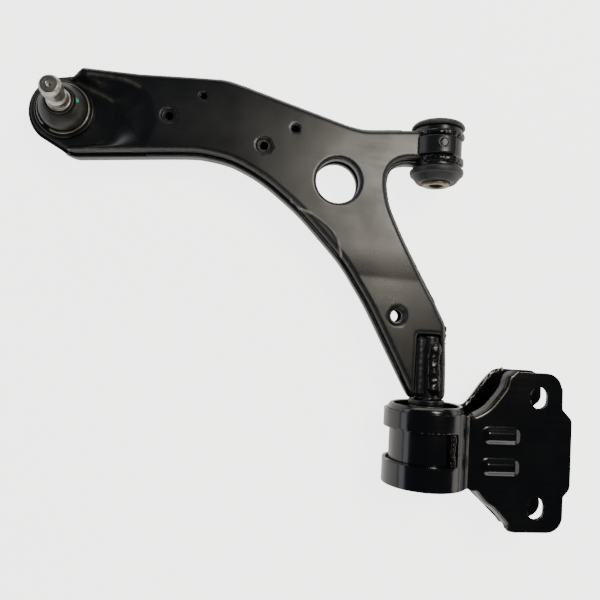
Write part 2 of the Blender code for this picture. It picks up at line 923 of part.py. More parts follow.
def far_plate_outline():
    """The lower plate: like the upper one, but waisted between its two ears."""
    left = PIVOT_X - HIDDEN
    x = SLOT_X
    top = SLOT_MIDDLE + SLOT_SPACING / 2
    low = SLOT_MIDDLE - SLOT_SPACING / 2
    return [
        (left, BAND_TOP),
        (x - 62, BAND_TOP),
        (x - 46.7, top - 6),
        (x - 30.1, top + 19.8),
        (x - 22.9, top + 22.4),
        *arc((x + 6, top + 8.6), 14.0, 90, 10, 4),
        (x + 19.8, top - 4.0),
        (x + 11.0, top - 12.5),
        (x + 4.0, top - 24.0),
        (x + 4.0, low + 26.0),
        (x + 12.0, low + 16.0),
        (x + 21.0, low + 8.0),
        *arc((x + 9, low - 5.6), 13.0, 10, -90, 4),
        (x - 18.9, low - 19.4),
        (x - 38.7, low - 2.6),
        (x - 56.6, low + 12.5),
        (x - 66, BAND_BOTTOM),
        (left, BAND_BOTTOM),
    ]


def slot(name, y):
    """A bolt slot, long along the pivot axis."""
    radius = SLOT_WIDTH / 2
    straight = SLOT_LENGTH / 2 - radius
    ends = arc((SLOT_X, y + straight), radius, 0, 180, 8) + arc(
        (SLOT_X, y - straight), radius, 180, 360, 8
    )
    return prism(name, ends, -HIDDEN, HIDDEN)


def box_outline(x, y, length, width):
    return [
        (x - length / 2, y + width / 2),
        (x + length / 2, y + width / 2),
        (x + length / 2, y - width / 2),
        (x - length / 2, y - width / 2),
    ]


def rib(name, y, length, width, foot, crest):
    """A flat-topped rib pressed outwards in the upper plate."""
    x = SLOT_X - 35.3
    slope = 4.2
    return loft(
        name,
        box_outline(x, y, length, width),
        box_outline(x, y, length - 2 * slope, width - 2 * slope),
        foot,
        crest,
    )


def edge_flange(name, ends, bottom, top):
    """A flange turned in along one slanted edge of a plate."""
    (x1, y1), (x2, y2) = ends
    along = Vector((x2 - x1, y2 - y1)).normalized()
    inward = Vector((along.y, -along.x)) * BRACKET_SHEET
    corners = [(x1, y1), (x2, y2), (x2 + inward.x, y2 + inward.y), (x1 + inward.x, y1 + inward.y)]
    return prism(name, corners, bottom, top)


def rear_bracket():
    low, high = SLOT_MIDDLE - 90, SLOT_MIDDLE + 90
    sheet = prism("bracket_sheet", bracket_profile(), -high, -low)
    sheet.data.transform(Matrix.Rotation(math.radians(90), 4, "X"))
    sheet.data.transform(Matrix.Translation((PIVOT_X * MM, 0, 0)))
    keep = prism("near_keep", near_plate_outline(), 0, HIDDEN)
    join(keep, prism("far_keep", far_plate_outline(), -HIDDEN, 0.01))
    combine(sheet, keep, "INTERSECT")
    window = box_outline(
        PIVOT_X + WINDOW_EDGE - 50,
        (WINDOW_TOP + WINDOW_BOTTOM) / 2,
        100,
        WINDOW_TOP - WINDOW_BOTTOM,
    )
    cut(sheet, prism("window", window, -HIDDEN, HIDDEN))
    roof = BRACKET_RISE
    under = roof - BRACKET_SHEET
    for name, y in (("rib_front", -109.5), ("rib_rear", -137.5)):
        join(sheet, rib(name, y, 36, 16, under + 1, roof + RIB_HEIGHT))
        cut(sheet, rib(name + "_back", y, 31, 11, under - 1, roof + RIB_HEIGHT - 2.8))
    x = SLOT_X
    top = SLOT_MIDDLE + SLOT_SPACING / 2
    bottom = SLOT_MIDDLE - SLOT_SPACING / 2
    upper_edge = ((x - 46.7, top - 9.3), (x - 33.1, top + 9.0))
    lower_edge = ((x - 26.5, bottom - 15.7), (x - 47.0, bottom + 2.9))
    join(sheet, edge_flange("flange_front", upper_edge, roof - 8, roof - 1))
    join(sheet, edge_flange("flange_rear", lower_edge, roof - 8, roof - 1))
    for name, side in (("slot_front", 1), ("slot_rear", -1)):
        cut(sheet, slot(name, SLOT_MIDDLE + side * SLOT_SPACING / 2))
    return as_part(settle(sheet), "rear_bracket", BLACK_PAINT, RING_PLACE)


def bracket_welds():
    """The beads that join the plates to the ring at the edge of the window."""
    radius = 2.0
    x = WINDOW_EDGE - GAP - radius
    reach = RING_RADIUS + GAP + radius
    z = math.sqrt(reach**2 - x**2)
    for name, side in (("bracket_weld_upper", 1), ("bracket_weld_lower", -1)):
        path = [(PIVOT_X + x, WINDOW_TOP - 4 - 21.5 * i / 6, side * z) for i in range(7)]
        as_part(bead(name, path, radius), name, WELD_PAINT, RING_PLACE)


# ---- The ball joint ----


def ball_housing():
    rise = NOSE_RISE + GAP
    body = HOUSING_RADIUS
    bore = BALL_RADIUS + GAP + SEAT_WALL + GAP
    floor = -BALL_DROP - BALL_RADIUS - SEAT_WALL
    profile = [
        (BOOT_COLLAR - 2.3, 9.5),
        (BOOT_COLLAR - 1.8, 9.0),
        (BOOT_COLLAR - 1.8, 8.2),
        (BOOT_COLLAR - 2.8, 8.2),
        (BOOT_COLLAR - 2.8, FLANGE_TOP),
        (HOUSING_FLANGE - 0.8, FLANGE_TOP),
        (HOUSING_FLANGE, 5.4),
        (HOUSING_FLANGE, rise),
        (body, rise),
        (body, floor - 2.5),
        (body - 1.5, floor - 4.0),
        (bore + 1.2, floor - 4.0),
        (bore + 1.2, floor),
        (bore, floor),
        (bore, 4.2),
        (13.6, 5.2),
        (14.4, 9.5),
    ]
    housing = turned("housing_profile", profile, 36)
    as_part(housing, "ball_joint_housing", BLACK_PAINT, BALL_PLACE)
    cover = turned(
        "cover_profile",
        [
            (0, floor - 1.0),
            (bore - 2, floor - 1.0),
            (bore + 0.9, floor - 0.3),
            (bore + 0.9, floor - 2.6),
            (bore - 3, floor - 3.4),
            (0, floor - 3.4),
        ],
        36,
    )
    as_part(cover, "housing_cover", PLATED_STEEL, BALL_PLACE)
    return floor


def ball_seat(floor):
    """The plastic cup that the ball turns in."""
    inner = BALL_RADIUS + GAP
    outer = inner + SEAT_WALL
    high = 3.6
    opening = math.degrees(math.asin((high + BALL_DROP) / inner))
    hollow = arc((0, -BALL_DROP), inner, opening, -70, 9)
    profile = [(outer, high), (outer, floor + 0.2), (hollow[-1][0], floor + 0.2), *hollow[::-1]]
    as_part(turned("seat_profile", profile, 28), "ball_seat", SEAT_PLASTIC, BALL_PLACE)


def ball_stud():
    """The ball and its pinch-bolt stud, from the ball's centre up."""
    top = STUD_TOP + BALL_DROP
    shank = STUD_RADIUS
    collar_top = BOOT_TOP + BALL_DROP + 0.5
    neck_angle = math.degrees(math.acos(STUD_NECK / BALL_RADIUS))
    sphere = arc((0, 0), BALL_RADIUS, neck_angle, -78, 9)
    profile = [
        (0, top - 1.6),
        (1.6, top - 1.6),
        (2.4, top),
        (shank - 2.2, top),
        (shank, top - 3.2),
        (shank, top - 12.5),
        (STUD_GROOVE, top - 15.0),
        (STUD_GROOVE, top - 19.0),
        (shank, top - 21.5),
        (shank, collar_top + 0.5),
        (STUD_COLLAR, collar_top),
        (STUD_COLLAR, collar_top - 4.6),
        (STUD_NECK, collar_top - 12.0),
        *sphere,
        (0, sphere[-1][1]),
    ]
    stud = turned("stud_profile", profile, 28)
    as_part(stud, "ball_stud", BARE_STEEL, STUD)


def dust_boot():
    """The rubber boot, from the housing's groove to the stud's collar."""
    neck = STUD_COLLAR + BOOT_FIT
    foot = FLANGE_TOP + GAP
    outer = [
        (neck + 1.9, BOOT_TOP),
        (neck + 1.9, BOOT_TOP - 1.2),
        (neck + 1.1, BOOT_TOP - 1.8),
        (neck + 1.1, BOOT_TOP - 4.0),
        (neck + 2.4, BOOT_TOP - 4.6),
        (BOOT_RADIUS - 4.2, BOOT_TOP - 7.0),
        (BOOT_RADIUS - 0.8, BOOT_TOP - 10.4),
        (BOOT_RADIUS, BOOT_TOP - 13.2),
        (BOOT_COLLAR, BOOT_HINGE),
        (BOOT_COLLAR, foot),
    ]
    inner = [
        (BOOT_COLLAR - 2.5, foot),
        (BOOT_COLLAR - 2.5, 7.9),
        (BOOT_COLLAR - 1.5, 7.9),
        (BOOT_RADIUS - 1.5, BOOT_TOP - 13.0),
        (BOOT_RADIUS - 2.4, BOOT_TOP - 11.2),
        (BOOT_RADIUS - 5.0, BOOT_TOP - 8.8),
        (neck, BOOT_TOP - 6.2),
        (neck, BOOT_TOP),
    ]
    boot = settle(turned("boot_profile", outer + inner, 32))
    sway = (BOOT_TOP + BALL_DROP) * math.tan(STUD_LEAN) / (BOOT_TOP - BOOT_HINGE)
    for vertex in boot.data.vertices:
        height = max(0, vertex.co.z - BOOT_HINGE * MM)
        vertex.co.x += sway * math.cos(LEAN_HEADING) * height
        vertex.co.y += sway * math.sin(LEAN_HEADING) * height
    as_part(boot, "dust_boot", RUBBER, BALL_PLACE)


def boot_rings():
    """The split wire ring round the boot's foot, and the closed one round its neck."""
    height = FLANGE_TOP + GAP + RING_WIRE
    reach = BOOT_COLLAR + GAP + RING_WIRE
    path = [(x, y, height) for x, y in arc((0, 0), reach, 242, 585, 30)]
    as_part(bead("lower_ring", path, RING_WIRE), "boot_lower_ring", PLATED_STEEL, BALL_PLACE)
    height = BOOT_TOP + BALL_DROP - 2.9
    radius = 0.8
    reach = STUD_COLLAR + BOOT_FIT + 1.1 + GAP + radius
    path = [(x, y, height) for x, y in arc((0, 0), reach, 0, 345, 23)]
    ring = bead("upper_ring", path, radius, cyclic=True)
    as_part(ring, "boot_upper_ring", PLATED_STEEL, STUD)


clear_scene()
PARTS = new_collection("control_arm")
CUTTERS = new_collection("cutters")

BLACK_PAINT = new_material("black_paint", (0.02, 0.021, 0.023), 0.38, 0.0)
WELD_PAINT = new_material("painted_weld", (0.014, 0.015, 0.016), 0.25, 0.0)
PLATED_STEEL = new_material("plated_steel", (0.30, 0.29, 0.25), 0.45, 1.0)
BARE_STEEL = new_material("bare_steel", (0.50, 0.48, 0.45), 0.35, 1.0)
RUBBER = new_material("rubber", (0.022, 0.022, 0.022), 0.7, 0.0)
SEAT_PLASTIC = new_material("seat_plastic", (0.75, 0.73, 0.68), 0.5, 0.0)

ARM = new_empty("arm_frame", (0, 0, PIVOT_HEIGHT))
ALONG_Y = (math.radians(-90), 0, 0)
FRONT = new_empty("front_bush_axis", (PIVOT_X, FRONT_Y, 0), ALONG_Y, ARM)
REAR = new_empty("rear_pin_axis", (PIVOT_X, REAR_Y, 0), ALONG_Y, ARM)
RING = new_empty("rear_ring_axis", (PIVOT_X, REAR_Y, 0), ALONG_Y, ARM)
RING_PLACE = new_empty("bracket_frame", (0, 0, 0), (0, 0, 0), ARM)
BALL_PLACE = new_empty("ball_joint_axis", (BALL.x, BALL.y, 0), (0, 0, 0), ARM)
TILT = Matrix.Rotation(STUD_LEAN, 3, Vector((-math.sin(LEAN_HEADING), math.cos(LEAN_HEADING), 0)))
STUD = new_empty("stud_axis", (0, 0, -BALL_DROP), TILT.to_euler(), BALL_PLACE)

upper_shell()
lower_shell()
seam_welds()
front_bush()
front_welds()
COLLAR_END = rear_pin()
pin_welds()
rear_bush(COLLAR_END)
rear_bracket()
bracket_welds()
FLOOR = ball_housing()
ball_seat(FLOOR)
ball_stud()
dust_boot()
boot_rings()
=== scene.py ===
import math

import bmesh
import bpy
import numpy as np
from mathutils import Matrix, Vector
from mathutils.geometry import delaunay_2d_cdt


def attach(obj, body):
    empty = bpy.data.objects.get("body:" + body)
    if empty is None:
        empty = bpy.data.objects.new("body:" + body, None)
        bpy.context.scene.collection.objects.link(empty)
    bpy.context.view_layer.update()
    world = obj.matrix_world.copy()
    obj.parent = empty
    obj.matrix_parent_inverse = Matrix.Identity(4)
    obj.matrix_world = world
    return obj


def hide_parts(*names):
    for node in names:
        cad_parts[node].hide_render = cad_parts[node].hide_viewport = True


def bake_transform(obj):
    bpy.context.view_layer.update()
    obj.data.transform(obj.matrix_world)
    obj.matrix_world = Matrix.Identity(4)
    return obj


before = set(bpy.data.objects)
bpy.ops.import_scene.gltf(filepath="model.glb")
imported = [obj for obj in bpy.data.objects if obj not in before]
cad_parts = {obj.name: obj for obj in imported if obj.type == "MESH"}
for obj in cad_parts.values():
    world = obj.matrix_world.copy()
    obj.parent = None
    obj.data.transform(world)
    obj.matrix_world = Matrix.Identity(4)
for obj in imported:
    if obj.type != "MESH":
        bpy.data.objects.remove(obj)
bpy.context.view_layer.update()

print("frame loaded")

# Lengths below are in millimetres, heights from the parting plane of the two pressings.
millimetre = 0.001
partingHeight = 38.3  # parting plane above the floor
ballPlace = np.array([-221.5, 157.2])
pivotX = 118.0
frontBushY = 152.2
rearBushY = -121.0
ballDrop = 3.0
studLean = math.radians(3.3)
leanHeading = math.radians(57.0)
ballCentre = np.array([ballPlace[0], ballPlace[1], -ballDrop])
studAxis = np.array(
    [
        math.sin(studLean) * math.cos(leanHeading),
        math.sin(studLean) * math.sin(leanHeading),
        math.cos(studLean),
    ]
)


def flow(points, steps):
    # Catmull-Rom: each stretch is the cubic through its ends, aimed by their neighbours
    points = np.asarray(points, float)
    padded = np.vstack([points[:1], points, points[-1:]])
    a, b, c, d = padded[:-3, None], padded[1:-2, None], padded[2:-1, None], padded[3:, None]
    t = (np.arange(steps) / steps)[None, :, None]
    curve = 0.5 * (
        2 * b + (c - a) * t + (2 * a - 5 * b + 4 * c - d) * t**2 + (3 * b - a - 3 * c + d) * t**3
    )
    return np.vstack([curve.reshape(-1, points.shape[1]), points[-1:]])


def arcLine(centre, radius, start, end, steps):
    angles = np.radians(np.linspace(start, end, steps))
    return np.column_stack(
        [centre[0] + radius * np.cos(angles), centre[1] + radius * np.sin(angles)]
    )


def resample(points, spacing, closed=False):
    # The same line at even spacing
    points = np.asarray(points, float)
    if closed:
        points = np.vstack([points, points[:1]])
    lengths = np.linalg.norm(np.diff(points, axis=0), axis=1)
    keep = np.append(True, lengths > 1e-6)
    points = points[keep]
    along = np.append(0, np.cumsum(lengths[lengths > 1e-6]))
    count = max(4, int(round(along[-1] / spacing)))
    places = np.linspace(0, along[-1], count + 1)
    line = np.column_stack([np.interp(places, along, axis) for axis in points.T])
    return line[:-1] if closed else line


def soften(points, width, spacing, closed=False):
    # Rounds every corner: a running mean weighted by a bell curve of the given width
    line = resample(points, spacing, closed)
    reach = max(1, int(round(3 * width / spacing)))
    bell = np.exp(-0.5 * (np.arange(-reach, reach + 1) * spacing / width) ** 2)
    bell /= bell.sum()
    if closed:
        padded = np.vstack([line[-reach:], line, line[:reach]])
    else:
        reach = min(reach, len(line) - 1)
        bell = bell[(len(bell) - 1) // 2 - reach : (len(bell) - 1) // 2 + reach + 1]
        bell /= bell.sum()
        head = 2 * line[0] - line[reach:0:-1]
        tail = 2 * line[-1] - line[-2 : -reach - 2 : -1]
        padded = np.vstack([head, line, tail])
    return np.column_stack([np.convolve(axis, bell, "valid") for axis in padded.T])


def sideways(line, distance, closed=False):
    # The line moved to its left by the distance
    if closed:
        along = np.roll(line, -1, axis=0) - np.roll(line, 1, axis=0)
    else:
        along = np.gradient(line, axis=0)
    along /= np.linalg.norm(along, axis=1)[:, None]
    return line + np.column_stack([-along[:, 1], along[:, 0]]) * distance


def nearest(points, line, closed=False):
    # Distance to a line of straight stretches, the nearest point on it and its direction
    start = line
    end = np.roll(line, -1, axis=0)
    if not closed:
        start, end = line[:-1], line[1:]
    span = end - start
    size = np.maximum((span**2).sum(1), 1e-12)
    distance = np.empty(len(points))
    foot = np.empty((len(points), 2))
    heading = np.empty((len(points), 2))
    for first in range(0, len(points), 3000):
        part = points[first : first + 3000]
        offset = part[:, None] - start[None]
        t = np.clip((offset * span).sum(2) / size, 0, 1)
        away = offset - t[:, :, None] * span
        squares = (away**2).sum(2)
        best = squares.argmin(1)
        rows = np.arange(len(part))
        distance[first : first + 3000] = np.sqrt(squares[rows, best])
        foot[first : first + 3000] = start[best] + t[rows, best][:, None] * span[best]
        heading[first : first + 3000] = span[best] / np.sqrt(size[best])[:, None]
    return distance, foot, heading


def within(points, outline):
    # Even-odd test against a closed outline
    x1, y1 = outline.T
    x2, y2 = np.roll(outline, -1, axis=0).T
    result = np.empty(len(points), bool)
    for first in range(0, len(points), 3000):
        x, y = points[first : first + 3000].T[:, :, None]
        crosses = (y1 > y) != (y2 > y)
        where = x1 + (y - y1) * (x2 - x1) / np.where(y2 == y1, 1e-9, y2 - y1)
        result[first : first + 3000] = (crosses & (x < where)).sum(1) % 2 == 1
    return result


def easeBetween(value, low, high):
    t = np.clip((value - low) / (high - low), 0, 1)
    return t * t * (3 - 2 * t)


def waver(points, size, seed):
    # Smooth noise between -1 and 1: waves of random direction, about one size long
    random = np.random.default_rng(seed)
    total = np.zeros(len(points))
    for _ in range(9):
        direction = random.normal(size=points.shape[1])
        direction /= np.linalg.norm(direction)
        length = size * random.uniform(0.7, 1.6)
        phase = random.uniform(0, 2 * math.pi)
        total += np.sin(points @ direction * 2 * math.pi / length + phase)
    return total / 4


def makeMesh(name, points, faceGroups, marks=None):
    # Points in millimetres above the parting plane become a mesh in metres above the floor
    mesh = bpy.data.meshes.new(name)
    places = (np.asarray(points) + [0, 0, partingHeight]) * millimetre
    loops = np.concatenate([faces.reshape(-1) for faces in faceGroups]).astype(np.int32)
    sizes = np.concatenate([np.full(len(faces), faces.shape[1]) for faces in faceGroups])
    starts = np.append(0, np.cumsum(sizes)[:-1]).astype(np.int32)
    mesh.vertices.add(len(places))
    mesh.vertices.foreach_set("co", places.astype(np.float32).reshape(-1))
    mesh.loops.add(len(loops))
    mesh.loops.foreach_set("vertex_index", loops)
    mesh.polygons.add(len(sizes))
    mesh.polygons.foreach_set("loop_start", starts)
    mesh.update(calc_edges=True)
    mesh.validate()
    for key, values in (marks or {}).items():
        layer = mesh.attributes.new(key, "FLOAT", "POINT")
        layer.data.foreach_set("value", np.asarray(values, np.float32))
    return mesh


def sewMesh(mesh, outward=True):
    # Closes seams and poles, then turns the faces outward
    shape = bmesh.new()
    shape.from_mesh(mesh)
    bmesh.ops.remove_doubles(shape, verts=shape.verts, dist=2e-6)
    if outward:
        bmesh.ops.recalc_face_normals(shape, faces=shape.faces)
    shape.to_mesh(mesh)
    shape.free()


def faceOut(mesh, leanOf):
    # Makes the faces agree, and turns them all round if the lean, summed over them, is negative
    shape = bmesh.new()
    shape.from_mesh(mesh)
    bmesh.ops.recalc_face_normals(shape, faces=shape.faces)
    if sum(leanOf(face) * face.calc_area() for face in shape.faces) < 0:
        bmesh.ops.reverse_faces(shape, faces=shape.faces)
    shape.to_mesh(mesh)
    shape.free()


def gridFaces(rows, columns, loopRows=False, loopColumns=False, first=0):
    # Four-sided faces between neighbouring points of a grid
    i = np.arange(rows if loopRows else rows - 1)
    j = np.arange(columns if loopColumns else columns - 1)
    i, j = np.meshgrid(i, j, indexing="ij")
    k, l = (i + 1) % rows, (j + 1) % columns
    corners = [i * columns + j, k * columns + j, k * columns + l, i * columns + l]
    return first + np.stack([corner.reshape(-1) for corner in corners], axis=1)


def showPiece(mesh, name, material, body, replaced, smoothAngle=None):
    piece = bpy.data.objects.new(name, mesh)
    bpy.context.scene.collection.objects.link(piece)
    mesh.materials.append(material)
    mesh.shade_smooth()
    if smoothAngle:
        mesh.set_sharp_from_angle(angle=math.radians(smoothAngle))
    if isinstance(body, str):
        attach(piece, body)
    if replaced:
        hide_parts(*replaced)
    return piece


def addThickness(piece, thickness, edge=0.0, offset=-1):
    solid = piece.modifiers.new("Sheet", "SOLIDIFY")
    solid.thickness = thickness * millimetre
    solid.offset = offset
    if edge:
        bevel = piece.modifiers.new("Edge", "BEVEL")
        bevel.width = edge * millimetre
        bevel.segments = 2
        bevel.limit_method = "ANGLE"
        bevel.angle_limit = math.radians(60)


alongPivot = (np.array([1.0, 0, 0]), np.array([0, 0, -1.0]), np.array([0, 1.0, 0]))
alongHeight = (np.array([1.0, 0, 0]), np.array([0, 1.0, 0]), np.array([0, 0, 1.0]))
tiltAxis = np.array([-math.sin(leanHeading), math.cos(leanHeading), 0])
alongStud = (np.cross(tiltAxis, studAxis), tiltAxis, studAxis)


def turnedMesh(
    name, profile, centre, axes, around=128, softness=0.35, spacing=0.45, closed=True, change=None
):
    # Turned shape: a profile of radius and height carried round an axis
    profile = np.asarray(profile, float)
    line = soften(profile, softness, spacing, closed)
    line[:, 0] = np.maximum(line[:, 0], 0)
    angles = np.linspace(0, 2 * math.pi, around, endpoint=False)
    radius = line[:, 0][:, None] * np.ones(around)
    height = line[:, 1][:, None] * np.ones(around)
    if change is not None:
        radius, height = change(radius, height, angles[None, :] * np.ones_like(radius))
    across, side, up = axes
    points = (
        np.asarray(centre)
        + (radius * np.cos(angles))[:, :, None] * across
        + (radius * np.sin(angles))[:, :, None] * side
        + height[:, :, None] * up
    )
    faces = gridFaces(len(line), around, loopRows=closed, loopColumns=True)
    mesh = makeMesh(name, points.reshape(-1, 3), [faces])
    sewMesh(mesh)
    return mesh


def turnedPiece(name, profile, centre, axes, material, body, node, slotName, **how):
    mesh = turnedMesh(name, profile, centre, axes, **how)
    return showPiece(mesh, name, material, body, [node])


def beadMesh(
    name, path, width, height, sides=14, ripple=0.0, lumps=0.0, seed=1, pitch=2.2, flat=None
):
    # A weld bead: an oval carried along the path, swelling once per ripple and lumpy all over
    path = resample(path, 0.5)
    along = np.gradient(path, axis=0)
    along /= np.linalg.norm(along, axis=1)[:, None]
    up = np.array([0, 0, 1.0]) if flat is None else np.asarray(flat)
    if up.ndim == 2:
        up = up[np.linspace(0, len(up) - 1, len(path)).round().astype(int)]
    else:
        up = np.broadcast_to(up, path.shape)
    side = np.cross(along, up)
    side /= np.maximum(np.linalg.norm(side, axis=1), 1e-6)[:, None]
    lift = np.cross(side, along)
    reach = np.arange(len(path)) * 0.5
    taper = np.sqrt(np.clip(np.minimum(reach, reach[-1] - reach) / (width * 0.9), 0, 1))
    swell = 1 + ripple * np.sin(reach * 2 * math.pi / pitch)
    angles = np.linspace(0, 2 * math.pi, sides, endpoint=False)
    shape = (taper * swell)[:, None, None]
    points = (
        path[:, None]
        + shape * width * np.cos(angles)[None, :, None] * side[:, None]
        + shape * height * np.sin(angles)[None, :, None] * lift[:, None]
    )
    flatPoints = points.reshape(-1, 3)
    outward = flatPoints - np.repeat(path, sides, axis=0)
    rough = waver(flatPoints, 4.2, seed) + 0.4 * waver(flatPoints, 2.2, seed + 1)
    flatPoints = flatPoints + outward * (lumps * rough)[:, None]
    mesh = makeMesh(name, flatPoints, [gridFaces(len(path), sides, loopColumns=True)])
    sewMesh(mesh)
    return mesh


def sheetPoints(outline, holes, spacing, extra, shape, walls=None, tubes=()):
    # A sheet over a flat outline: an even triangle net whose height is a formula of x and y
    low, high = outline.min(0), outline.max(0)
    x, y = np.meshgrid(
        np.arange(low[0] + spacing / 2, high[0], spacing),
        np.arange(low[1] + spacing / 2, high[1], spacing * 0.87),
    )
    x[1::2] += spacing / 2
    field = np.column_stack([x.reshape(-1), y.reshape(-1)])
    loose = np.vstack([*extra, field])
    rank = np.concatenate([np.zeros(sum(map(len, extra))), np.ones(len(field))])
    keep = within(loose, outline)
    keep &= nearest(loose, outline, True)[0] > 0.12
    for hole in holes:
        keep &= ~within(loose, hole) & (nearest(loose, hole, True)[0] > 0.25)
    loose, rank = loose[keep], rank[keep]
    crowd = rank == 1
    fixed = loose[~crowd]
    if len(fixed):
        keys = np.floor(fixed / (spacing * 0.55)).astype(int)
        taken = set(map(tuple, keys))
        fieldKeys = np.floor(loose[crowd] / (spacing * 0.55)).astype(int)
        free = np.array([tuple(key) not in taken for key in fieldKeys])
        loose = np.vstack([fixed, loose[crowd][free]])
    rings = [outline, *holes]
    points = np.vstack([*rings, loose])
    edges, first = [], 0
    for ring in rings:
        index = np.arange(len(ring))
        edges += np.column_stack([first + index, first + (index + 1) % len(ring)]).tolist()
        first += len(ring)
    result = delaunay_2d_cdt([Vector(p) for p in points.tolist()], edges, [], 0, 1e-5, False)
    flatPoints = np.array([tuple(p) for p in result[0]])
    triangles = np.array(result[2])
    middle = flatPoints[triangles].mean(1)
    good = within(middle, outline)
    for hole in holes:
        good &= ~within(middle, hole)
    triangles = triangles[good]
    a, b, c = (flatPoints[triangles[:, k]] for k in range(3))
    turned = (b - a)[:, 0] * (c - a)[:, 1] - (b - a)[:, 1] * (c - a)[:, 0] < 0
    triangles[turned] = triangles[turned][:, ::-1]
    placed, marks = shape(flatPoints)
    groups, clouds = [triangles], [placed]
    count = len(placed)
    markClouds = [marks]
    for ring, drops in [(outline, walls)] * (walls is not None) + list(tubes):
        top, ringMarks = shape(ring)
        levels = drops(ring, top)
        cloud = np.concatenate([top[None], levels])
        clouds.append(cloud.reshape(-1, 3))
        markClouds.append(np.tile(ringMarks, len(cloud)))
        groups.append(gridFaces(len(cloud), len(ring), loopColumns=True, first=count))
        count += len(cloud) * len(ring)
    return np.vstack(clouds), groups, np.concatenate(markClouds)


def hexColour(text):
    # A screen colour such as "1b1c1e" made linear
    parts = [int(text[i : i + 2], 16) / 255 for i in (0, 2, 4)]
    linear = [p / 12.92 if p <= 0.04045 else ((p + 0.055) / 1.055) ** 2.4 for p in parts]
    return (*linear, 1)


def addNode(tree, kind, settings=None, links=None):
    # One node with its settings, and its inputs joined to outputs or set to values
    node = tree.nodes.new(kind)
    for name, value in (settings or {}).items():
        setattr(node, name, value)
    for name, value in (links or {}).items():
        socket = node.inputs[name]
        if isinstance(value, bpy.types.NodeSocket):
            tree.links.new(value, socket)
        else:
            socket.default_value = value
    return node


def worldPlace(centre):
    # Millimetres above the parting plane to metres above the floor
    return [c * millimetre for c in (centre[0], centre[1], centre[2] + partingHeight)]


def startMaterial(name):
    material = bpy.data.materials.new(name)
    material.use_nodes = True
    tree = material.node_tree
    shader = tree.nodes["Principled BSDF"]
    place = addNode(tree, "ShaderNodeTexCoord").outputs["Object"]
    return material, tree, shader, place


def noiseOf(tree, place, size, detail=4.0, roughness=0.55, stretch=None):
    # Noise whose blobs are about the given size in millimetres
    vector = place
    if stretch:
        links = {0: place, 2: stretch[0], 3: stretch[1]}
        vector = addNode(tree, "ShaderNodeMapping", None, links).outputs[0]
    links = {"Vector": vector, "Scale": 1000 / size, "Detail": detail, "Roughness": roughness}
    return addNode(tree, "ShaderNodeTexNoise", None, links).outputs["Fac"]


def remap(tree, value, fromLow, fromHigh, toLow, toHigh):
    links = {0: value, 1: fromLow, 2: fromHigh, 3: toLow, 4: toHigh}
    return addNode(tree, "ShaderNodeMapRange", None, links).outputs[0]


def sums(tree, operation, first, second):
    links = {0: first, 1: second}
    return addNode(tree, "ShaderNodeMath", {"operation": operation}, links).outputs[0]


def blendColours(tree, factor, first, second):
    links = {0: factor, 6: first, 7: second}
    return addNode(tree, "ShaderNodeMix", {"data_type": "RGBA"}, links).outputs[2]


def addCoat(tree, shader, colour, rough, relief, ior=1.5):
    # Joins a surface's three patterns to the shader
    for name, value in (("Base Color", colour), ("Roughness", rough), ("Normal", relief)):
        tree.links.new(value, shader.inputs[name])
    shader.inputs["IOR"].default_value = ior


# Share of painted highlight that the mesh carries at each point
def paintedHighlightShare(tree):
    return addNode(tree, "ShaderNodeAttribute", {"attribute_name": "paintedHighlight"}).outputs["Fac"]


def vectorMaths(tree, operation, first, second, output):
    links = {0: first} if second is None else {0: first, 1: second}
    node = addNode(tree, "ShaderNodeVectorMath", {"operation": operation}, links)
    return node.outputs[output]


def glowSpot(tree, place, centre, reach):
    # 1 at a point above the floor and 0 beyond the reach, both in millimetres
    away = vectorMaths(tree, "DISTANCE", place, worldPlace(centre), "Value")
    return remap(tree, away, reach * millimetre, 0.0, 0.0, 1.0)


def bumpFrom(tree, height, depth, before=None):
    # Depth is the real height of the relief in millimetres
    links = {"Height": height, "Distance": depth * millimetre, "Strength": 1.0}
    if before is not None:
        links["Normal"] = before
    return addNode(tree, "ShaderNodeBump", None, links).outputs[0]


def wipeMarks(tree, place, angle):
    # Long soft streaks: noise drawn out along one heading, in patches
    turn = (0, 0, math.radians(angle))
    streak = noiseOf(tree, place, 3.0, 2.0, 0.5, (turn, (0.06, 1.0, 1.0)))
    patch = noiseOf(tree, place, 40, 2.0)
    line = remap(tree, streak, 0.35, 0.7, 0.0, 1.0)
    return sums(tree, "MULTIPLY", line, remap(tree, patch, 0.4, 0.62, 0.0, 1.0))


# The arm's paint: its black, the grey-beige tone of its painted reflection and the light colour of
# its painted highlight lines
armPaint = {
    "colour": "0c0f13",
    "paintedSheenAndGrain": "5a5852",
    "paintedSheenAmount": 0.16,
    "roughness": 0.29,
    "peel": 0.003,
    "paintedHighlight": "9a958a",
    "ripple": 0.35,
    "wipeAngle": 28,
}
# Where painted reflection lightens the arm's black paint, and how far each patch reaches
paintedSheenSpots = [((18, 88, 13), 120), ((62, 120, 13), 80), ((84, 20, 13), 62), ((60, 66, 13), 60)]


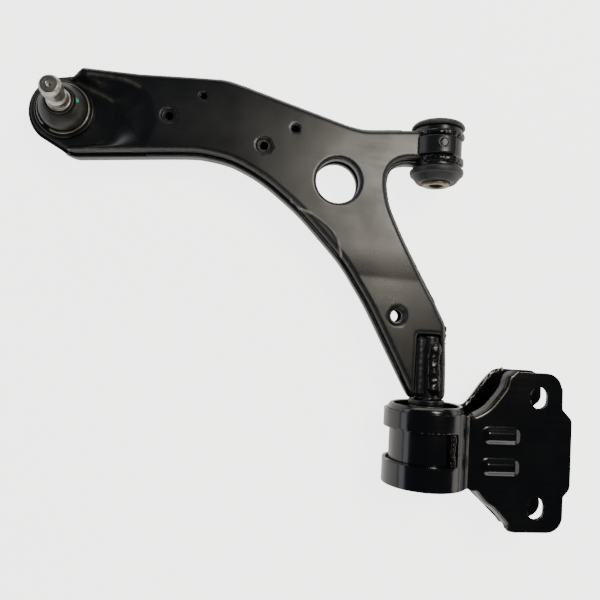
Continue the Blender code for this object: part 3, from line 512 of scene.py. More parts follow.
def electrocoatMaterial():
    # Cathodic dip paint on pressed steel: thin, satin, with soft wipe marks; its lighter patches
    # are painted reflection and its marked lines painted highlight
    material, tree, shader, place = startMaterial("black e-coat on pressed steel, dip-painted")
    cloud = noiseOf(tree, place, 60, 3.0)
    grain = noiseOf(tree, place, 5, 5.0, 0.6)
    glow = glowSpot(tree, place, *paintedSheenSpots[0])
    for centre, reach in paintedSheenSpots[1:]:
        glow = sums(tree, "MAXIMUM", glow, glowSpot(tree, place, centre, reach))
    glow = remap(tree, glow, 0.0, 0.9, 0.0, 1.0)
    glow = sums(tree, "MULTIPLY", glow, remap(tree, cloud, 0.3, 0.65, 0.35, 1.0))
    # Painted reflection: patches at set points lift the black towards grey-beige, with a faint
    # random grain tone on top
    paintedSheenAndGrain = sums(tree, "MULTIPLY", glow, armPaint["paintedSheenAmount"])
    paintedSheenAndGrain = sums(tree, "ADD", paintedSheenAndGrain, remap(tree, grain, 0.5, 0.75, 0.0, 0.012))
    colour = blendColours(tree, paintedSheenAndGrain, hexColour(armPaint["colour"]), hexColour(armPaint["paintedSheenAndGrain"]))
    # Painted highlight: lines marked on the mesh are lightened towards a pale grey, broken up by
    # grain
    highlightMix = sums(tree, "MULTIPLY", paintedHighlightShare(tree), remap(tree, grain, 0.35, 0.6, 0.35, 1.0))
    colour = blendColours(tree, highlightMix, colour, hexColour(armPaint["paintedHighlight"]))
    base = armPaint["roughness"]
    rough = remap(tree, cloud, 0.3, 0.7, base - 0.05, base + 0.09)
    rough = sums(tree, "ADD", rough, remap(tree, grain, 0.3, 0.7, -0.008, 0.01))
    wipes = wipeMarks(tree, place, armPaint["wipeAngle"])
    rough = sums(tree, "ADD", rough, sums(tree, "MULTIPLY", wipes, 0.04))
    relief = bumpFrom(tree, noiseOf(tree, place, 34, 1.0), armPaint["ripple"])
    relief = bumpFrom(tree, noiseOf(tree, place, 2.2, 2.0), armPaint["peel"], relief)
    addCoat(tree, shader, colour, rough, relief)
    return material


# The bracket's paint: its black and the brass-grey of its painted highlight along the folds
glossPaint = {
    "colour": "060708",
    "edge": "8d7c52",
    "roughness": 0.17,
    "peel": 0.006,
    "ripple": 0.16,
    "wipeAngle": -40,
}


def glossMaterial():
    # Thick black dip paint that has flowed out to a gloss on the bush ring and bracket, with
    # painted highlight along the bracket's folds
    material, tree, shader, place = startMaterial("black e-coat on folded steel, glossy")
    cloud = noiseOf(tree, place, 45, 3.0)
    grain = noiseOf(tree, place, 3.5, 4.0, 0.6)
    # Painted highlight: the folds marked on the mesh are lightened towards brass-grey
    edge = sums(tree, "MULTIPLY", paintedHighlightShare(tree), remap(tree, grain, 0.4, 0.62, 0.1, 0.8))
    black, foldHighlight = hexColour(glossPaint["colour"]), hexColour(glossPaint["edge"])
    base = glossPaint["roughness"]
    rough = remap(tree, cloud, 0.3, 0.7, base - 0.04, base + 0.08)
    wipes = wipeMarks(tree, place, glossPaint["wipeAngle"])
    rough = sums(tree, "ADD", rough, sums(tree, "MULTIPLY", wipes, 0.06))
    relief = bumpFrom(tree, noiseOf(tree, place, 22, 1.0), glossPaint["ripple"])
    relief = bumpFrom(tree, noiseOf(tree, place, 1.8, 2.0), glossPaint["peel"], relief)
    addCoat(tree, shader, blendColours(tree, edge, black, foldHighlight), rough, relief)
    shader.inputs["Coat Weight"].default_value = 0.3
    shader.inputs["Coat Roughness"].default_value = 0.12
    return material


weldPaint = {"colour": "08080a", "slag": "26221c", "roughness": 0.22, "spatter": 0.010}


def weldMaterial():
    # Gas-metal-arc weld bead under the same paint, which lies wet and shiny over it
    material, tree, shader, place = startMaterial("painted arc-weld bead")
    grain = noiseOf(tree, place, 2.4, 1.5, 0.4)
    slag = noiseOf(tree, place, 7, 3.0)
    share = remap(tree, slag, 0.5, 0.7, 0.0, 0.5)
    colour = blendColours(
        tree, share, hexColour(weldPaint["colour"]), hexColour(weldPaint["slag"])
    )
    base = weldPaint["roughness"]
    rough = remap(tree, grain, 0.3, 0.7, base - 0.04, base + 0.1)
    addCoat(tree, shader, colour, rough, bumpFrom(tree, grain, weldPaint["spatter"]))
    return material


rubberLook = {"colour": "232527", "bloom": "555552", "roughness": 0.48}


def rubberMaterial(name, look):
    # Moulded natural rubber: carbon black with a grey bloom of wax and moulding dust
    material, tree, shader, place = startMaterial(name)
    cloud = noiseOf(tree, place, 14, 4.0)
    grain = noiseOf(tree, place, 0.9, 3.0, 0.6)
    amount = remap(tree, cloud, 0.42, 0.75, 0.0, 0.55)
    amount = sums(tree, "ADD", amount, remap(tree, grain, 0.5, 0.8, 0.0, 0.12))
    colour = blendColours(tree, amount, hexColour(look["colour"]), hexColour(look["bloom"]))
    rough = remap(tree, cloud, 0.3, 0.7, look["roughness"] - 0.07, look["roughness"] + 0.1)
    addCoat(tree, shader, colour, rough, bumpFrom(tree, grain, 0.03), 1.52)
    return material, tree, shader, place, colour


bootLook = {"colour": "20201e", "bloom": "45423a", "roughness": 0.42}
# Paint marks on the boot: centre, size, colour and strength
bootMarks = [
    ((-207.6, 161.2, 19.2), 2.2, "3fae96", 1.0),
    ((-212.0, 150.0, 18.5), 2.4, "3d2224", 0.45),
    ((-208.6, 158.2, 17.0), 2.2, "4a2a2c", 0.45),
]


def bootMaterial():
    # Chloroprene boot with an inspector's paint dot on the shoulder
    name = "dust boot chloroprene, injection-moulded"
    material, tree, shader, place, colour = rubberMaterial(name, bootLook)
    ragged = remap(tree, noiseOf(tree, place, 1.6, 3.0), 0.0, 1.0, -0.45, 0.45)
    for centre, size, shade, strength in bootMarks:
        spot = glowSpot(tree, place, centre, size * 1.9)
        spot = sums(tree, "ADD", spot, sums(tree, "MULTIPLY", ragged, 0.5))
        mask = remap(tree, spot, 0.42, 0.62, 0.0, strength)
        colour = blendColours(tree, mask, colour, hexColour(shade))
    tree.links.new(colour, shader.inputs["Base Color"])
    return material


def turnedSteelMaterial(name, colour, dark, roughness, centre, axis, pitch, stain):
    # Lathe-cut steel: fine rings about the axis, tarnish in patches
    material, tree, shader, place = startMaterial(name)
    cloud = noiseOf(tree, place, 7, 4.0)
    grain = noiseOf(tree, place, 1.3, 4.0, 0.6)
    offset = vectorMaths(tree, "SUBTRACT", place, worldPlace(centre), 0)
    along = vectorMaths(tree, "DOT_PRODUCT", offset, tuple(axis), "Value")
    length = vectorMaths(tree, "LENGTH", offset, None, "Value")
    square = sums(tree, "MULTIPLY", length, length)
    flat = sums(tree, "MULTIPLY", along, along)
    across = sums(tree, "SQRT", sums(tree, "SUBTRACT", square, flat), 0.0)
    rings = sums(tree, "ADD", along, across)
    rings = sums(tree, "MULTIPLY", rings, 2 * math.pi * 1000 / pitch)
    rings = sums(tree, "ADD", rings, sums(tree, "MULTIPLY", grain, 2.0))
    rings = sums(tree, "SINE", rings, 0.0)
    amount = remap(tree, cloud, 0.38, 0.68, 0.0, stain)
    mixed = blendColours(tree, amount, hexColour(colour), hexColour(dark))
    rough = remap(tree, cloud, 0.3, 0.7, roughness - 0.08, roughness + 0.14)
    relief = bumpFrom(tree, grain, 0.02, bumpFrom(tree, rings, 0.006))
    addCoat(tree, shader, mixed, rough, relief)
    shader.inputs["Metallic"].default_value = 1.0
    return material


def seatMaterial():
    # Acetal cup with a film of grease
    material, tree, shader, place = startMaterial("acetal, injection-moulded and greased")
    cloud = noiseOf(tree, place, 6, 4.0)
    share = remap(tree, cloud, 0.4, 0.7, 0.0, 0.6)
    colour = blendColours(tree, share, hexColour("d8d2c2"), hexColour("a58f5f"))
    relief = bumpFrom(tree, noiseOf(tree, place, 0.8), 0.02)
    addCoat(tree, shader, colour, remap(tree, cloud, 0.3, 0.7, 0.15, 0.4), relief)
    return material


armMaterial = electrocoatMaterial()
bracketMaterial = glossMaterial()
beadMaterial = weldMaterial()
bushMaterial = rubberMaterial("bush rubber, compression-moulded", rubberLook)[0]
bootRubber = bootMaterial()
jointAxis = ((*ballPlace, 0), (0, 0, 1))
studMaterial = turnedSteelMaterial(
    "bright steel, turned and oiled", "b8b4aa", "6e685e", 0.32, ballCentre, studAxis, 0.35, 0.55
)
bushAxis = ((pivotX, frontBushY, 0), (0, 1, 0))
zincMaterial = turnedSteelMaterial(
    "zinc-plated steel, turned", "8d8a76", "4d4a3c", 0.42, *bushAxis, 0.3, 0.5
)
ringMaterial = turnedSteelMaterial(
    "spring wire, phosphated", "8e8b82", "4c4a44", 0.36, *jointAxis, 0.5, 0.5
)
bandMaterial = turnedSteelMaterial(
    "spring wire, blackened", "34332f", "1c1b19", 0.4, *jointAxis, 0.5, 0.5
)
plasticMaterial = seatMaterial()
print("materials made")


pressing = {
    "thickness": 2.8,
    "rise": 13.0,
    "noseRise": 3.0,
    "bend": 4.2,
    "noseBend": 0.9,
    "foot": -3.6,
    "lap": 2.7,
    "lapFoot": -2.0,
    "spacing": 2.1,
    "holeRadius": 20.0,
    "holeRoll": 3.4,
    "holeDepth": 9.5,
    "stepY": 28.0,
    "stepRun": 30.0,
    "stepDip": 1.5,
    "legSlope": 0.02,
}
elbow = np.array([22.9, 113.1])
legHole = np.array([83.7, -5.9])
dimples = [
    # centre, rim radius, hole radius, depth, floor radius
    ((-130.6, 158.2), 7.6, 3.7, 2.4, 6.0),
    ((-101.7, 178.4), 4.6, 3.0, 1.2, 3.4),
    ((-45.9, 139.2), 7.6, 3.7, 2.6, 6.0),
    ((-18.3, 156.8), 4.8, 3.4, 1.2, 3.7),
]
legDimple = (tuple(legHole), 9.9, 5.4, 3.2, 6.6)
pocketFloor = ballPlace + np.array(
    [
        (-60, 46), (-4, 31), (8, 24.5), (27, 18), (42, 10), (44, -10), (36, -25), (14, -31),
        (-60, -50),
    ]
)
pocketMouth = ballPlace + np.array(
    [
        (-60, 48), (8, 34.0), (17, 29.8), (54, 29.3), (74, 20), (82, -6), (72, -29), (17, -34.4),
        (-60, -52),
    ]
)
roundFloor = soften(pocketFloor, 2.4, 2.0, closed=True)
roundMouth = soften(pocketMouth, 3.6, 2.0, closed=True)
veeLow = ballPlace + flow([(9, 25.5), (18, 21.5), (30, 17.0), (40, 12.0)], 6)
veeHigh = ballPlace + flow([(20, 30.5), (36, 30.4), (54, 28.0), (64, 24.0)], 6)
crescentRim = elbow + flow([
    (-42, -20), (-37.5, -26), (-24, -31), (-12, -38.5), (-3, -46), (2, -54), (5.6, -64), (6.5, -73),
    (5, -82),
], 8)
crescentArea = np.vstack([crescentRim, elbow + [(-40, -110), (-90, -60)]])


def armRing():
    # The upper pressing's rim, clockwise from the ball joint's corner
    x, y = elbow
    shoulder = flow([
        (x - 180.9, y + 80.2), (x - 146.5, y + 81.6), (x - 115.9, y + 82.6), (x - 104.3, y + 82),
        (x - 90, y + 78.7),
    ], 6)
    neck = flow([
        (x + 3.3, y + 52.4), (x + 22, y + 49.1), (x + 45.3, y + 50.8), (x + 68.9, y + 53),
    ], 6)
    saddle = flow(
        [
            (91.1, 139.9), (83.5, 138.8), (77.1, 136.1), (70.8, 130.6), (67.1, 121), (67.7, 108.1),
            (71.7, 92.8), (79.1, 76.8), (88.4, 59.1), (107.8, 25.5), (119.1, 6.9),
        ],
        6,
    )
    concave = flow(
        [
            (100.1, -73.4), (80, -36.9), (59.9, -0.4), (46.3, 20.7), (31.6, 41.7), (12.2, 62.6),
            (-7.8, 82.6), (-24.8, 96.5), (-41.6, 108.9), (-58.2, 118.1), (-74.8, 124.8),
            (-93.6, 128.2), (-111.4, 128.8), (-156.9, 124.8),
        ],
        6,
    )
    nose = arcLine(ballPlace, 29, 228, 114, 30)
    line = np.vstack(
        [
            [(-207.5, 194.1)],
            shoulder,
            neck,
            [(99.6, 166.6), (99.6, 139.9)],
            saddle,
            [(129.4, -11.7), (131.4, -43.6), (132.2, -74.4), (131.6, -78.6)],
            [(125.8, -78.8), (125.7, -21.5), (104.1, -21.5), (104.0, -79.0)],
            concave,
            [(-209.1, 119.8), (-212, 120.2), (-215, 121), (-220.6, 124.3)],
            nose,
            [(-228, 184.6), (-216, 187), (-212, 188.6), (-209.4, 191.6)],
        ]
    )
    return soften(line, 1.1, 1.3, closed=True)


def pocketBlend(points):
    # 0 on the ball joint's floor, 1 on the arm's flat, in proportion to both distances between
    toFloor = nearest(points, roundFloor, True)[0]
    toMouth = nearest(points, roundMouth, True)[0]
    toFloor[within(points, roundFloor)] = 0
    toMouth[~within(points, roundMouth)] = 0
    share = toFloor / np.maximum(toFloor + toMouth, 1e-6)
    share[(toMouth == 0)] = 1
    return 0.25 * share + 0.75 * share * share * (3 - 2 * share)


def dimpleDepth(points, dimple):
    # A cone from the rim down to a flat ring round the hole
    centre, rim, _, depth, floorRadius = dimple
    away = np.linalg.norm(points - centre, axis=1)
    return depth * easeBetween(rim - away, 0, rim - floorRadius)


def pressingHeight(points, upper):
    # Height of the pressed flat before its edges are rolled over
    blend = pocketBlend(points)
    height = pressing["noseRise"] + (pressing["rise"] - pressing["noseRise"]) * blend
    height -= dimpleDepth(points, legDimple)
    below = pressing["stepY"] - 0.03 * (points[:, 0] - 60) - points[:, 1]
    height -= pressing["stepDip"] * np.clip(1 + below / pressing["stepRun"], 0, 1) ** 2
    height -= pressing["legSlope"] * np.maximum(below - 24, 0)
    if upper:
        for dimple in dimples:
            height -= dimpleDepth(points, dimple)
        away = nearest(points, crescentRim)[0]
        inside = within(points, crescentArea)
        drop = 2.6 * easeBetween(away, 0, 1.3) + 0.06 * np.minimum(away, 20)
        height -= np.where(inside, drop, 0)
    return height, blend


def rolledHeight(points, outline, upper):
    # The height less a quarter circle at the rim and at the large hole's mouth
    height, blend = pressingHeight(points, upper)
    bend = pressing["noseBend"] + (pressing["bend"] - pressing["noseBend"]) * blend
    away = np.minimum(nearest(points, outline, True)[0], bend)
    height = height - (bend - np.sqrt(np.maximum(bend**2 - (bend - away) ** 2, 0)))
    roll = pressing["holeRoll"]
    away = np.clip(np.linalg.norm(points - elbow, axis=1) - pressing["holeRadius"], 0, roll)
    height = height - (roll - np.sqrt(np.maximum(roll**2 - (roll - away) ** 2, 0)))
    return height


def rimSamples(outline, upper):
    # Points crowded where the sheet bends: at the rim, the mouths and the pressed steps
    clouds = []
    for distance in (0.25, 0.7, 1.35, 2.2, 3.2, 4.4, 5.8):
        ring = sideways(outline, -distance, closed=True)
        far = nearest(ring, outline, True)[0]
        clouds.append(ring[far > distance * 0.96])
    rings = [(elbow, pressing["holeRadius"] + d) for d in (0.35, 0.9, 1.6, 2.5, 3.4, 4.3)]
    rings += [(legHole, r) for r in (5.9, 6.3, 6.9, 7.5, 8.2, 8.9, 9.5, 10.1)]
    if upper:
        for centre, rim, hole, _, _ in dimples:
            sizes = np.linspace(hole + 0.3, rim + 0.3, 7)
            rings += [(np.array(centre), size) for size in sizes]
        for distance in (-2.4, -1.6, -1.2, -0.9, -0.6, -0.3, 0.02, 0.5, 1.2):
            clouds.append(sideways(resample(crescentRim, 0.7), distance))
    for centre, radius in rings:
        clouds.append(arcLine(centre, radius, 0, 360, max(24, int(radius * 5)))[:-1])
    for line in (roundFloor, roundMouth):
        for distance in (-1.2, -0.4, 0.4, 1.2):
            clouds.append(sideways(resample(line, 1.2, closed=True), distance, closed=True))
    return clouds


def holeRing(centre, radius):
    return arcLine(centre, radius, 0, 360, max(28, int(radius * 4.5)))[:-1]


def stackLevels(ring, heights):
    # The ring repeated at each row of heights
    flat = np.broadcast_to(ring, (len(heights), *ring.shape))
    return np.concatenate([flat, heights[:, :, None]], axis=2)


def pressingMesh(name, outline, upper):
    def shape(points):
        height = rolledHeight(points, outline, upper)
        lip = np.abs(np.linalg.norm(points - elbow, axis=1) - pressing["holeRadius"] - 3.3)
        # Painted highlight: light lines along the large hole's rolled lip and inside the rim's
        # bend, and on the upper pressing along the crescent's step and the V creases
        paintedHighlight = 0.30 * np.exp(-((lip / 0.55) ** 2))
        if upper:
            step = nearest(points, crescentRim)[0]
            paintedHighlight = np.maximum(paintedHighlight, 0.95 * np.exp(-((step / 0.6) ** 2)))
            crease = np.minimum(nearest(points, veeLow)[0], nearest(points, veeHigh)[0])
            paintedHighlight = np.maximum(paintedHighlight, 0.24 * np.exp(-((crease / 1.3) ** 2)))
        edge = nearest(points, outline, True)[0]
        paintedHighlight = np.maximum(paintedHighlight, 0.16 * np.exp(-(((edge - 1.6) / 0.9) ** 2)))
        return np.column_stack([points, height]), paintedHighlight

    def wallLevels(ring, top):
        inner = sideways(ring, -4, closed=True)
        _, blend = pressingHeight(inner, upper)
        deep = pressing["foot"] if upper else pressing["lapFoot"]
        shallow = 0.2 + 0 * blend
        foot = shallow + (deep - shallow) * easeBetween(blend, 0.15, 0.7)
        share = np.array([0.25, 0.5, 0.75, 1.0])[:, None]
        return stackLevels(ring, top[None, :, 2] + (foot - top[:, 2])[None] * share)

    def tubeLevels(ring, top):
        depth = np.array([0.8, 2.4, 4.4, pressing["holeDepth"] - pressing["holeRoll"]])[:, None]
        return stackLevels(ring, top[None, :, 2] - depth)

    mouth = holeRing(elbow, pressing["holeRadius"])
    holes = [mouth, holeRing(legHole, legDimple[2])]
    if upper:
        holes += [holeRing(np.array(centre), hole) for centre, _, hole, _, _ in dimples]
    extra = rimSamples(outline, upper)
    points, groups, paintedHighlight = sheetPoints(
        outline, holes, pressing["spacing"], extra, shape, wallLevels, [(mouth, tubeLevels)]
    )
    if upper:
        tongue, faces = tonguePatch(len(points))
        points = np.vstack([points, tongue])
        paintedHighlight = np.append(paintedHighlight, np.zeros(len(tongue)))
        groups.append(faces)
    else:
        points = points * [1, 1, -1]
        groups = [faces[:, ::-1] for faces in groups]
    mesh = makeMesh(name, points, groups, {"paintedHighlight": paintedHighlight})
    sewMesh(mesh, outward=False)
    side = 1 if upper else -1
    faceOut(mesh, lambda face: face.normal.z * side)
    return mesh


tongueShape = {"low": 143.4, "high": 160.2, "tube": 22.9, "end": 69}


def tonguePatch(first):
    # The strip that runs off the neck and over the bush tube: an arc swept along the pivot
    reach = tongueShape["tube"] + pressing["thickness"]
    arcPart = arcLine((pivotX, 0), reach, 149, tongueShape["end"], 60)
    path = np.vstack([[(89, 11.6), (93.5, 12.5)], arcPart])
    path = soften(path, 1.6, 0.9)
    across = np.linspace(tongueShape["low"], tongueShape["high"], 22)
    corner = np.minimum(across - across[0], across[-1] - across)
    sag = 0.5 * np.clip(1 - corner / 1.2, 0, 1) ** 2
    centre = np.array([pivotX, 0])
    out = path - centre
    out /= np.linalg.norm(out, axis=1)[:, None]
    x = path[:, 0][:, None] - sag[None] * out[:, 0][:, None]
    z = path[:, 1][:, None] - sag[None] * out[:, 1][:, None]
    y = np.broadcast_to(across, x.shape)
    points = np.stack([x, y, z], axis=2).reshape(-1, 3)
    return points, gridFaces(len(path), len(across), first=first)


def makePressings():
    ring = armRing()
    lowerRing = soften(sideways(ring, pressing["lap"], closed=True), 0.6, 1.3, closed=True)
    for name, node, outline, upper in (
        ("upperPressing", "upper_shell", ring, True),
        ("lowerPressing", "lower_shell", lowerRing, False),
    ):
        mesh = pressingMesh(name, outline, upper)
        piece = showPiece(mesh, name, armMaterial, "arm", [node])
        addThickness(piece, pressing["thickness"])
    print("pressings made")
    return ring


seamLook = {"out": 1.25, "lift": 2.9}
seamBead = {"width": 1.9, "height": 1.5, "sides": 10, "ripple": 0.04, "lumps": 0.04, "seed": 5}


def makeSeams(ring):
    # Beads that lie on the lower pressing's rim and against the upper pressing's wall
    middle = sideways(ring, seamLook["out"], closed=True)
    x, y = middle.T
    inner = concaveSide(middle)
    stretches = {
        "seamConcave": ("seam_weld_concave", (y < 131) & (x > -150) & (x < 92) & inner),
        "seamFront": ("seam_weld_front", (y > 160) & (x > -93) & (x < 84)),
        "seamLeg": ("seam_weld_leg", ~inner & (y < 139) & (y > 6) & (x > 60)),
    }
    for name, (node, chosen) in stretches.items():
        start = np.flatnonzero(chosen & ~np.roll(chosen, 1))[0]
        line = np.roll(middle, -start, axis=0)[: chosen.sum()]
        path = np.column_stack([line, np.full(len(line), seamLook["lift"])])
        mesh = beadMesh(name, path, **seamBead)
        showPiece(mesh, name, armMaterial, "arm", [node])


def concaveSide(points):
    # True left of the line that runs down the middle of the leg and along the arm
    spine = flow([
        (-240, 155), (-120, 155), (-40, 140), (30, 100), (80, 30), (118, -40), (122, -120),
    ], 8)
    _, foot, heading = nearest(points, spine)
    away = points - foot
    return heading[:, 0] * away[:, 1] - heading[:, 1] * away[:, 0] < 0


def tubeArc(angles, radius, y):
    turn = np.radians(angles)
    return np.column_stack(
        [pivotX + radius * np.cos(turn), y + 0 * turn, radius * np.sin(turn)]
    )


frontWeld = {
    "arc": (146, 12),
    "radius": 22.7,
    "bead": {"height": 2.0, "sides": 20, "ripple": 0.04, "lumps": 0.11, "pitch": 5.0},
    "plug": (pivotX - 2.7, 152.9, 25.4),
}


def makeFrontWelds():
    # Two lumpy beads round the tube, one each side of the tongue, and the plug through it
    angles = np.linspace(*frontWeld["arc"], 90)
    for name, node, y, width, seed in (
        ("weldLong", "front_weld_long", 139.6, 3.4, 11),
        ("weldShort", "front_weld_short", 163.8, 3.0, 17),
    ):
        path = tubeArc(angles, frontWeld["radius"], y)
        out = path - [pivotX, 0, 0]
        out[:, 1] = 0
        mesh = beadMesh(name, path, width, seed=seed, flat=out, **frontWeld["bead"])
        showPiece(mesh, name, beadMaterial, "arm", [node])
    profile = [
        (0, -0.5), (1.6, -0.45), (3.0, 0.1), (4.3, 0.8), (5.2, 0.5), (5.8, -0.6), (5.8, -1.6),
        (0, -1.6),
    ]
    turnedPiece(
        "plugWeld", profile, frontWeld["plug"], alongHeight,
        beadMaterial, "arm", "front_plug_weld", "painted_weld",
        around=64, softness=0.5, closed=False,
        change=lambda r, h, a: (r * (1 + 0.03 * np.sin(2 * a + 1)), h),
    )


pinBead = {"width": 6.2, "height": 3.2, "sides": 34, "ripple": 0.04, "lumps": 0.05, "pitch": 7.0}
pinFillet = {"width": 4.6, "height": 2.5, "sides": 26, "lumps": 0.03, "pitch": 9.0}
endBead = {"width": 2.0, "height": 2.6, "sides": 14, "ripple": 0.08, "lumps": 0.2, "pitch": 4.0}


def makePinWelds():
    # Broad uneven fillets between the pin and the notch, above and below
    for side, level in ((1, "Upper"), (-1, "Lower")):
        y = np.linspace(-27, -77, 60)
        wander = 0.7 * np.sin(y / 6.0)
        path = np.column_stack([120.4 + wander, y, side * (10.2 + 0.25 * np.sin(y / 3.1))])
        mesh = beadMesh("pin weld", path, seed=23 + side, **pinBead)
        nodes = [f"pin_weld_{level.lower()}_near", f"pin_weld_{level.lower()}_far"]
        showPiece(mesh, "pinWeld" + level, beadMaterial, "arm", nodes)
        path = np.linspace((108.0, -23, side * 8.4), (108.0, -79, side * 8.4), 60)
        mesh = beadMesh("pin fillet", path, seed=27 + side, **pinFillet)
        showPiece(mesh, "pinFillet" + level, armMaterial, "arm", [])
    path = np.linspace((133.6, -12, -3.0), (133.6, -31, -3.6), 30)
    mesh = beadMesh("leg end weld", path, seed=31, **endBead)
    showPiece(mesh, "legEndWeld", beadMaterial, "arm", [])


armRim = makePressings()
makeSeams(armRim)
makeFrontWelds()
makePinWelds()
print("arm welds made")


bush = {"ring": 35.0, "wall": 2.5, "waist": 2.3, "length": 72.0, "lip": 2.6}
band = {
    "sheet": 3.0,
    "reach": 38.3,
    "rise": 18.0,
    "bend": 5.0,
    "top": -90.5,
    "bottom": -157.0,
    "windowTop": -106.5,
    "windowBottom": -136.0,
    "windowEdge": 19.0,
    "flangeBend": 4.0,
    "flangeDepth": 5.0,
    "flangeAngle": math.radians(78),
    "runOut": 9.0,
    "spacing": 2.0,
    "slotX": 218.8,
    "slotY": (-73.6, -173.6),
    "slotRadius": 7.8,
    "slotStraight": 2.2,
}
rib = {
    "rise": 3.4,
    "middles": (-109.5, -137.5),
    "x": 183.5,
    "halfLength": 18.6,
    "halfWidth": 8.6,
    "climb": 6.4,
}


def bracketPath():
    # The sheet's outer face seen along the pivot: plate, bend, wrap round the ring, plate
    bendZ = band["rise"] + band["bend"]
    bendX = math.sqrt((band["reach"] + band["bend"]) ** 2 - bendZ**2)
    turn = math.degrees(math.atan2(bendZ, bendX))
    plate = np.column_stack([np.linspace(150, bendX, 120), np.full(120, band["rise"])])
    bend = arcLine((bendX, bendZ), band["bend"], 270, 180 + turn, 24)
    wrap = arcLine((0, 0), band["reach"], turn, 180, 160)
    half = np.vstack([plate, bend[1:], wrap[1:]])
    whole = np.vstack([half, (half * [1, -1])[-2::-1]])
    return resample(whole, 0.5)


wrapPath = bracketPath()
wrapLength = np.append(0, np.cumsum(np.linalg.norm(np.diff(wrapPath, axis=0), axis=1)))
wrapNormal = np.gradient(wrapPath, axis=0)
wrapNormal /= np.linalg.norm(wrapNormal, axis=1)[:, None]
wrapNormal = np.column_stack([wrapNormal[:, 1], -wrapNormal[:, 0]])
wrapNormal *= np.sign(wrapNormal[5, 1])
wrapMiddle = wrapLength[-1] / 2


def lengthAt(x, near):
    # Place along the sheet of a point x from the pivot, on the upper or the lower half
    half = len(wrapPath) // 2
    part = slice(None, half) if near else slice(half, None)
    sideX, sideS = wrapPath[part, 0], wrapLength[part]
    order = np.argsort(sideX)
    return np.interp(np.asarray(x, float) - pivotX, sideX[order], sideS[order])


nearDiagonalTop = flow([
    (150, -93.4), (158, -91.6), (166, -87.6), (172.4, -82.2), (179.5, -73.4), (185.4, -64.6),
    (187.6, -56.5), (192, -52.2), (200, -51.2),
], 5)
nearDiagonalLow = flow([
    (198, -195.4), (194.2, -192.6), (191.5, -188), (180.1, -176.2), (171.8, -170.7),
    (162.2, -160.4), (156, -157.6),
], 5)
farDiagonalTop = flow([
    (148, -91.2), (154, -90.0), (164, -80.2), (176.2, -63.5), (186.5, -52.6), (194, -50.6),
    (202, -50.4),
], 5)
farDiagonalLow = flow([
    (205, -195), (199, -193.6), (192, -187), (180, -176), (166, -163.5), (158, -158),
], 5)


def flangeShare(points, diagonal):
    # 0 at the ends of a slanted edge and 1 once past the run-out of its flange
    ends = [np.linalg.norm(points - diagonal[end], axis=1) for end in (0, -1)]
    return easeBetween(np.minimum(*ends), 0.5, band["runOut"])


def flangeLine(diagonal, extra):
    # The slanted edge moved out by the flat length of its flange
    line = resample(diagonal, 1.0)
    moved = sideways(line, 1.0) - line
    return line + moved * (extra * flangeShare(line, diagonal))[:, None]


def nearOutline(extra):
    # The upper plate clockwise; its slanted edges go on past their bend into the flanges
    top = flangeLine(nearDiagonalTop, extra)
    low = flangeLine(nearDiagonalLow, extra)
    return np.vstack(
        [
            top,
            [(205, -51.2)],
            arcLine((225.5, -65.8), 14.8, 92, 8, 14),
            [
                (241.3, -64.5), (241.5, -83.3), (245.5, -87.4), (249.8, -91.6), (251, -95),
                (251, -152), (250.2, -156.2), (244.7, -162.6), (244.5, -167), (244.5, -180),
            ],
            arcLine((229.5, -180.2), 15.0, 0, -88, 14),
            [(206, -195.3)],
            low,
        ]
    )


def farOutline(extra):
    # The lower plate, waisted between its ears
    top = flangeLine(farDiagonalTop, extra)
    low = flangeLine(farDiagonalLow, extra)
    return np.vstack(
        [
            top,
            [(212, -50.6)],
            arcLine((225, -64), 13.4, 88, 8, 12),
            [
                (238.6, -76), (236.6, -80.5), (229.8, -86.1), (224.6, -91.5), (222.8, -98),
                (222.8, -148), (224.6, -154), (230.8, -160.8), (238, -165.6),
            ],
            arcLine((227.5, -178), 13.2, 20, -62, 12),
            [(222, -194.6), (212, -195.2)],
            low,
        ]
    )


def bracketOutline():
    extra = band["flangeDepth"] + (math.pi / 2 - 1) * band["flangeBend"]
    near = nearOutline(extra)
    far = farOutline(extra)
    nearFlat = np.column_stack([lengthAt(near[:, 0], True), near[:, 1]])
    farFlat = np.column_stack([lengthAt(far[:, 0], False), far[:, 1]])[::-1]
    s0, s1 = lengthAt(146, True), lengthAt(146, False)
    upperEdge = np.array([(s1, band["top"]), (s0, band["top"])])
    lowerEdge = np.array([(s0, band["bottom"]), (s1, band["bottom"])])
    ring = np.vstack([nearFlat, lowerEdge, farFlat, upperEdge])
    area = 0.5 * np.sum(ring[:, 0] * np.roll(ring[:, 1], -1) - np.roll(ring[:, 0], -1) * ring[:, 1])
    return soften(ring if area < 0 else ring[::-1], 0.7, 1.3, closed=True)


def slotRing(s, y):
    # A rounded slot in the unrolled sheet
    radius, straight = band["slotRadius"], band["slotStraight"]
    top = arcLine((s, y + straight), radius, 0, 180, 20)
    low = arcLine((s, y - straight), radius, 180, 360, 20)
    return resample(np.vstack([top, low]), 1.0, closed=True)


def flangeTurn(diagonal, x, y):
    # Past the bend line a point keeps its arc length but turns a quarter circle inwards
    plan = np.column_stack([x, y])
    away, foot, heading = nearest(plan, diagonal)
    outward = np.column_stack([-heading[:, 1], heading[:, 0]])
    share = flangeShare(foot, diagonal)
    signed = ((plan - foot) * outward).sum(1) + band["flangeBend"] * share
    past = np.where((share > 0) & (away < 14), np.maximum(signed, 0), 0)
    bend = band["flangeBend"]
    angle = np.minimum(past / bend, band["flangeAngle"])
    rest = np.maximum(past - bend * band["flangeAngle"], 0)
    shift = bend * np.sin(angle) + rest * math.cos(band["flangeAngle"]) - past
    down = bend * (1 - np.cos(angle)) + rest * math.sin(band["flangeAngle"])
    return outward * shift[:, None], down


